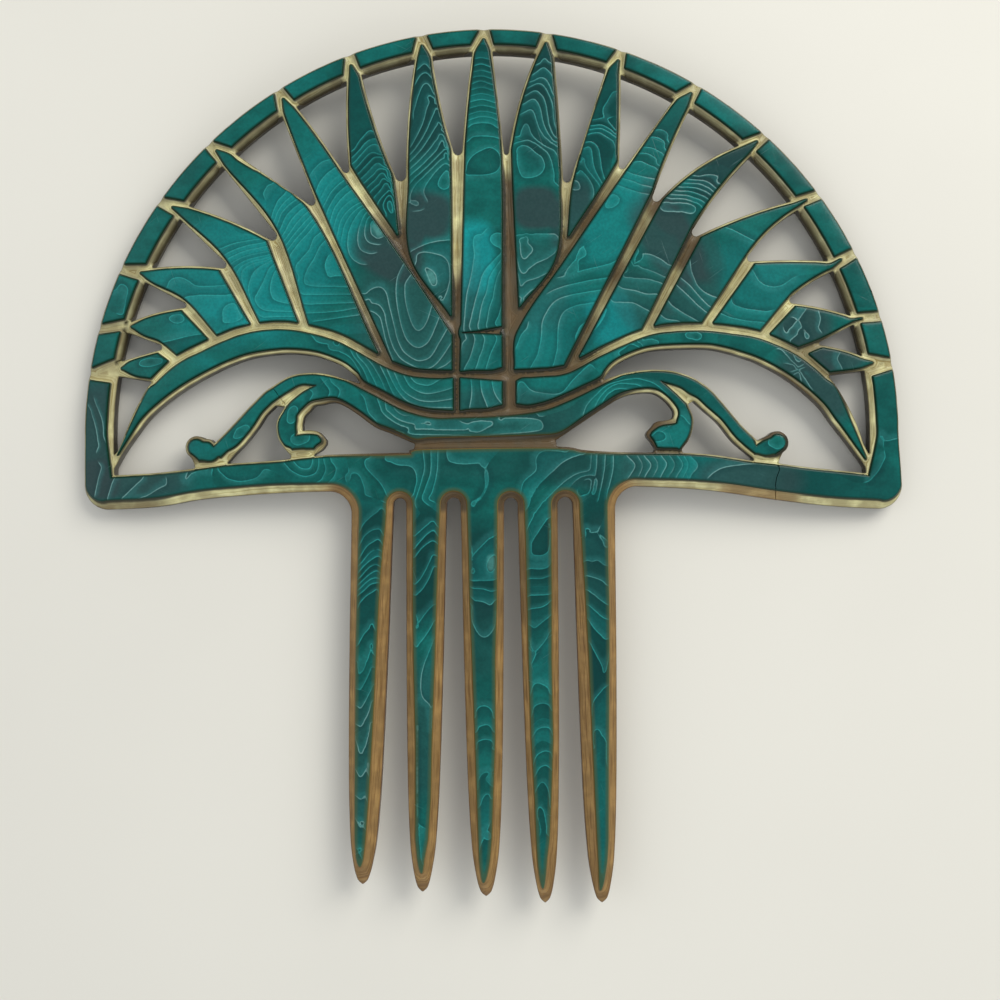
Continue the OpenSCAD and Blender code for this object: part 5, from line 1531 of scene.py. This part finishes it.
def lines_group():
    """Pale lines of the folded layer: the distance to the nearest whole level, over the rate of
    change, is the distance to a line in millimetres. Shade and Glow fall off on the two sides of
    each line, and Band is a value of its own between each two lines."""
    group = new_group(
        "Layer lines",
        [
            ("Level", "Float", 0.0),
            ("Rate", "Float", 1.0),
            ("Ink", "Float", 1.0),
            ("Width", "Float", LINE_WIDTH),
        ],
        [("Line", "Float"), ("Shade", "Float"), ("Glow", "Float"), ("Band", "Float")],
    )
    n = Nodes(group)
    start = group.nodes.new("NodeGroupInput").outputs
    end = group.nodes.new("NodeGroupOutput").inputs
    wobble = n.spread(n.noise(LINE_WOBBLE, detail=2.0), 0.14)
    level = n.math("MULTIPLY_ADD", wobble, start["Rate"], start["Level"])
    part = n.math("FRACT", level)
    off = n.math("SUBTRACT", 0.5, n.math("ABSOLUTE", n.math("SUBTRACT", part, 0.5)))
    away = n.math("DIVIDE", off, n.math("MAXIMUM", start["Rate"], 0.02))
    line = n.ramp(away, 0.02, start["Width"], 1.0, 0.0)
    uneven = n.ramp(n.noise(LINE_UNEVEN, detail=2.0), 0.3, 0.6, 0.45, 1.0)
    line = n.math("MULTIPLY", line, uneven)
    n.put(n.math("MULTIPLY", line, start["Ink"]), end["Line"])
    n.put(n.math("MULTIPLY", n.ramp(part, 0.6, 1.0), start["Ink"]), end["Shade"])
    n.put(n.math("MULTIPLY", n.ramp(part, 0.45, 0.0), start["Ink"]), end["Glow"])
    band = n.add("TexWhiteNoise", noise_dimensions="1D")
    n.put(n.math("FLOOR", level), band.inputs["W"])
    n.put(band.outputs["Value"], end["Band"])
    return group


scratches = scratches_group()
lines = lines_group()


def new_material(name):
    material = bpy.data.materials.new(name)
    material.use_nodes = True
    shader = material.node_tree.nodes["Principled BSDF"]
    return material, Nodes(material.node_tree), shader


def teal_material():
    """Polished teal celluloid: mottled colour with painted light and shade and painted grey
    reflection and shade in patches, that deepens to a dark green rim at the edge of each face, pale
    contour lines with a shade beside each, its own tone between each two lines, specks, fine
    scratches and cracks."""
    material, n, shader = new_material("teal_celluloid")
    levels = {key.title(): n.attribute(key) for key in ("level", "rate", "ink")}
    layer = n.group(lines, **levels)
    mottle = n.noise(TEAL_MOTTLE, (1, 1.6, 1), 5.0)
    cloud = n.noise(TEAL_CLOUD)
    # the ground colour, with painted light and shade in patches, and in bands between the lines
    colour = n.blend(n.ramp(mottle, 0.3, 0.7), *TEAL_TONES)
    # painted light and shade: brighter and darker teal patches stand in for light shining through
    # it
    lit = n.spread(cloud, 0.9, n.attribute("light_and_shade"))
    colour = n.blend(n.line(lit, 0.0, 1.0, 0.0, 0.85), colour, TEAL_LIT)
    colour = n.blend(n.line(lit, 0.0, -1.0, 0.0, 0.85), colour, TEAL_SHADED)
    tone = n.spread(layer["Band"], 0.5)
    colour = n.blend(n.line(tone, 0.0, 0.25, 0.0, 0.22), colour, BAND_LIGHT)
    colour = n.blend(n.line(tone, 0.0, -0.25, 0.0, 0.3), colour, BAND_DARK)
    # painted reflection and shade: grey patches of teal, where the lines are paler and the
    # scratches more
    reflected_grey = n.spread(mottle, 0.3, n.attribute("reflected_grey"))
    colour = n.blend(n.line(reflected_grey, 0.05, 1.0, 0.0, 0.88), colour, TEAL_REFLECTED_GREY)
    # the lines, the pale spots and the specks
    colour = n.blend(n.math("MULTIPLY", layer["Shade"], 0.4), colour, LINE_SHADE)
    colour = n.blend(n.math("MULTIPLY", layer["Glow"], 0.14), colour, LINE_GLOW)
    pale = n.blend(n.ramp(reflected_grey, 0.0, 0.5), *LINE_TONES)
    colour = n.blend(n.math("MULTIPLY", layer["Line"], 0.44), colour, pale)
    colour = n.blend(n.math("MULTIPLY", n.attribute("pale"), 0.55), colour, SPOT_PALE)
    grain = n.noise(TEAL_SPECK, detail=2.0)
    colour = n.blend(n.ramp(grain, 0.3, 0.7, 0.0, 0.2), colour, SPECKS)
    # the rim and the bevel of the face, wider and softer on the teeth
    edge = n.attribute("edge")
    soft = n.ramp(n.attribute("soft"), 0.1, 0.8)
    reach = n.math("MULTIPLY_ADD", soft, 0.5, 0.3)
    colour = n.blend(n.ramp(edge, reach, 0.02, 0.0, 0.8), colour, n.blend(soft, *RIM_TONES))
    colour = n.blend(n.ramp(edge, 0.02, -0.08), colour, n.blend(soft, *BEVEL_TONES))
    # scratches and cracks
    marks = n.group(scratches, Amount=n.ramp(reflected_grey, 0.2, 0.9, 0.14, 0.32))["Mask"]
    colour = n.blend(marks, colour, TEAL_SCRATCH)
    colour = n.blend(n.ramp(n.attribute("crack"), 0.1, 0.6, 0.0, 0.95), colour, CRACK_DARK)
    n.put(colour, shader.inputs["Base Color"])
    rough = n.ramp(cloud, 0.3, 0.7, 0.13, 0.22)
    n.put(n.math("MULTIPLY_ADD", marks, 1.2, rough), shader.inputs["Roughness"])
    raised = n.math("MULTIPLY", layer["Line"], 0.35)
    height = n.math("SUBTRACT", raised, n.math("MULTIPLY", marks, 2.0))
    n.relief(n.math("MULTIPLY_ADD", cloud, 0.9, height), 0.22, shader)
    shader.inputs["IOR"].default_value = CELLULOID
    shader.inputs["Specular IOR Level"].default_value = TEAL_GLOSS
    return material


def streaks(n, deep):
    """Noise that changes fast with the carved depth and slowly over the comb, so that it runs
    along the grooves."""
    across = n.add("CombineXYZ")
    n.put(n.math("MULTIPLY", deep, 9.0), across.inputs["X"])
    along = n.add("VectorMath", operation="MULTIPLY_ADD")
    n.put(n.add("TexCoord").outputs["Object"], along.inputs[0])
    along.inputs[1].default_value = [AMBER_STREAK] * 3
    n.put(across.outputs[0], along.inputs[2])
    streak = n.add("TexNoise")
    streak.inputs["Scale"].default_value = 1.6
    streak.inputs["Detail"].default_value = 3.0
    n.put(along.outputs[0], streak.inputs["Vector"])
    return n.ramp(streak.outputs["Fac"], 0.32, 0.54)


def amber_material():
    """Carved amber celluloid: pale straw with streaks that run along the grooves, painted shade in
    brown and golden patches, greyish beside the rim's teal, darker low in the grooves, dirt away
    from the teal, a black knife line beside the teal widened by painted shadow, and sawn walls,
    edges and back painted dark brown as shade."""
    material, n, shader = new_material("amber_celluloid")
    deep = n.attribute("carved")
    mottle = n.noise(AMBER_MOTTLE, detail=4.0)
    cloud = n.noise(AMBER_CLOUD)
    run = streaks(n, deep)
    # straw, and golden and brown patches of painted shade
    vary = n.spread(cloud, 0.6)
    # painted shade: the golden patches, darker than the straw
    gold_shade = n.ramp(n.math("ADD", vary, n.attribute("golden_shade")), 0.1, 0.8)
    colour = n.blend(gold_shade, n.blend(run, *STRAW), n.blend(run, *SHADE_GOLD))
    # painted shade: the brown patches
    shade_mix = n.ramp(n.math("ADD", vary, n.attribute("brown_shade")), 0.15, 0.85)
    colour = n.blend(n.math("MULTIPLY", shade_mix, 0.97), colour, n.blend(run, *SHADE_BROWN))
    faded = n.math("MULTIPLY", n.attribute("rimside"), n.ramp(cloud, 0.35, 0.65, 0.45, 0.8))
    colour = n.blend(faded, colour, AMBER_GREY)
    # darker brown low in a groove, and dirt away from the teal
    low = n.ramp(n.math("MULTIPLY_ADD", mottle, 0.3, deep), 0.5, 1.1, 0.0, 0.3)
    colour = n.blend(low, colour, GROOVE_BOTTOM_DARK)
    dirt = n.math("MULTIPLY", n.attribute("dirt"), n.ramp(mottle, 0.25, 0.6, 0.2, 0.6))
    colour = n.blend(dirt, colour, DIRT_AWAY)
    # the knife line, a dark cut, widened by painted shadow at the lower right of a face and on the
    # painted brown shade, faint on the painted golden shade
    wide = n.math("MULTIPLY_ADD", shade_mix, 0.34, 0.13)
    reach = n.math("MULTIPLY_ADD", n.attribute("knife_shadow"), wide, 0.1)
    cut = n.ramp(deep, reach, n.math("MULTIPLY", reach, 0.3), 0.0, 0.92)
    cut = n.math("MULTIPLY", cut, n.math("MULTIPLY_ADD", gold_shade, -0.8, 1.0))
    colour = n.blend(cut, colour, KNIFE_AND_SHADOW_BLACK)
    # painted shade on the sawn surfaces, and scratches
    sawn_shade = n.line(n.attribute("sawn_shade"), 0.0, 1.0, 0.0, 0.95)
    colour = n.blend(sawn_shade, colour, n.blend(gold_shade, *SAWN_SHADE_TONES))
    marks = n.group(scratches, Amount=0.35)["Mask"]
    colour = n.blend(marks, colour, AMBER_SCRATCH)
    n.put(colour, shader.inputs["Base Color"])
    n.put(n.ramp(mottle, 0.3, 0.7, 0.28, 0.42), shader.inputs["Roughness"])
    n.relief(n.math("MULTIPLY_ADD", n.noise(AMBER_GRAIN), 0.5, run), 0.35, shader)
    shader.inputs["IOR"].default_value = CELLULOID
    shader.inputs["Specular IOR Level"].default_value = AMBER_GLOSS
    return material


def floor_material():
    """Matt pale board with faint clouds."""
    material, n, shader = new_material("pale_floor")
    tone = n.ramp(n.noise(6, detail=4.0), 0.3, 0.7)
    n.put(n.blend(tone, *FLOOR_TONES), shader.inputs["Base Color"])
    n.put(n.ramp(n.noise(40), 0.3, 0.7, 0.75, 0.85), shader.inputs["Roughness"])
    return material


# ---------------------------------------------------------------- putting the pieces in


def piece(name, points, triangles, layers, material, node):
    """Mesh object from points on the drawing with their heights, bent, with its values."""
    place = np.clip(bent(points[:, :2], points[:, 2]) * MM, *cad_box)
    mesh = bpy.data.meshes.new(name)
    mesh.from_pydata(place.tolist(), [], triangles.tolist())
    mesh.validate()
    mesh.polygons.foreach_set("use_smooth", np.ones(len(mesh.polygons), bool))
    mesh.set_sharp_from_angle(angle=math.radians(SMOOTH_UNDER))
    for key, values in layers.items():
        layer = mesh.attributes.new(key, "FLOAT", "POINT")
        layer.data.foreach_set("value", np.asarray(values, np.float32))
    mesh.materials.append(material)
    obj = bpy.data.objects.new(name, mesh)
    bpy.context.scene.collection.objects.link(obj)
    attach(obj, "root")
    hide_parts(node)


points, triangles = amber_sheet()
plan = points[:, :2]
layers = {
    "carved": points[:, 3],
    "sawn_shade": points[:, 4],
    "dirt": points[:, 5],
    "knife_shadow": knife_line_and_shadow(plan),
    "rimside": rim_side(plan),
    "brown_shade": patches(plan, BROWN_SHADE),
    "golden_shade": patches(plan, GOLDEN_SHADE),
}
piece("carved_sheet", points, triangles, layers, amber_material(), "comb_sheet")

fill, fill_away, fill_edge = face_fill()
teal_finish = teal_material()
for name in FACE_NODES:
    mine = np.array([loop_face[k] == name for k in teal_loop[fill_edge]])
    points, triangles = teal_face(name, fill[mine], fill_away[mine])
    plan = points[:, :2]
    level, rate, ink = lines_of(plan, FOLDS.get(name))
    layers = {
        "edge": points[:, 3],
        "level": level,
        "rate": rate,
        "ink": ink,
        "soft": patches(plan, [GOLDEN_TEETH]),
        "light_and_shade": patches(plan, LIGHT_AND_SHADE),
        "reflected_grey": patches(plan, REFLECTED_GREY),
        "pale": patches(plan, PALE),
        "crack": crack_depth(plan),
    }
    piece("teal_" + name, points, triangles, layers, teal_finish, name)

# ---------------------------------------------------------------- floor, light and camera

FLOOR_REACH = 1.5  # half width, in metres
FLOOR_GAP = 0.0002  # how far it is under the comb
SENSOR = 36  # the camera's, in millimetres

# Lamps: name, place and width in metres, power, colour; and the studio's own light
LAMPS = [
    ("key", (0.36, 0.42, 0.46), 0.45, 3.9, (1.0, 0.98, 0.94)),
    ("fill", (-0.5, 0.1, 0.45), 0.5, 0.45, (0.95, 0.98, 1.0)),
    ("front", (0.05, -0.6, 0.4), 0.5, 0.7, (1.0, 1.0, 1.0)),
]
STUDIO, STUDIO_STRENGTH = (0.9, 0.93, 1.0, 1), 0.65


def floor():
    """A pale floor plate under the comb: a square of four points."""
    mesh = bpy.data.meshes.new("floor")
    corners = FLOOR_REACH * np.array([(-1, -1, 0), (1, -1, 0), (1, 1, 0), (-1, 1, 0)])
    mesh.from_pydata(corners.tolist(), [], [(0, 1, 2, 3)])
    mesh.materials.append(floor_material())
    obj = bpy.data.objects.new("floor", mesh)
    bpy.context.scene.collection.objects.link(obj)
    obj.location.z = -FLOOR_GAP


def lamp(name, place, size, power, colour):
    """Soft square light that looks at the middle of the comb."""
    light = bpy.data.lights.new(name, "AREA")
    light.shape = "SQUARE"
    light.size = size
    light.energy = power
    light.color = colour
    obj = bpy.data.objects.new(name, light)
    obj.location = place
    obj.rotation_euler = (-Vector(place)).to_track_quat("-Z", "Y").to_euler()
    bpy.context.scene.collection.objects.link(obj)


floor()
for row in LAMPS:
    lamp(*row)

world = bpy.data.worlds.new("studio")
world.use_nodes = True
background = world.node_tree.nodes["Background"]
background.inputs["Color"].default_value = STUDIO
background.inputs["Strength"].default_value = STUDIO_STRENGTH
bpy.context.scene.world = world
bpy.context.scene.view_settings.view_transform = "Standard"

camera_data = bpy.data.cameras.new("camera")
camera_data.sensor_width = SENSOR
camera_data.lens = SENSOR * LENS_HEIGHT / (PICTURE * PIXEL)
camera_data.clip_start = 0.01
camera = bpy.data.objects.new("camera", camera_data)
camera.location = (LENS[0] * MM, LENS[1] * MM, (LENS_HEIGHT + float(face_top(0.0))) * MM)
bpy.context.scene.collection.objects.link(camera)
bpy.context.scene.camera = camera
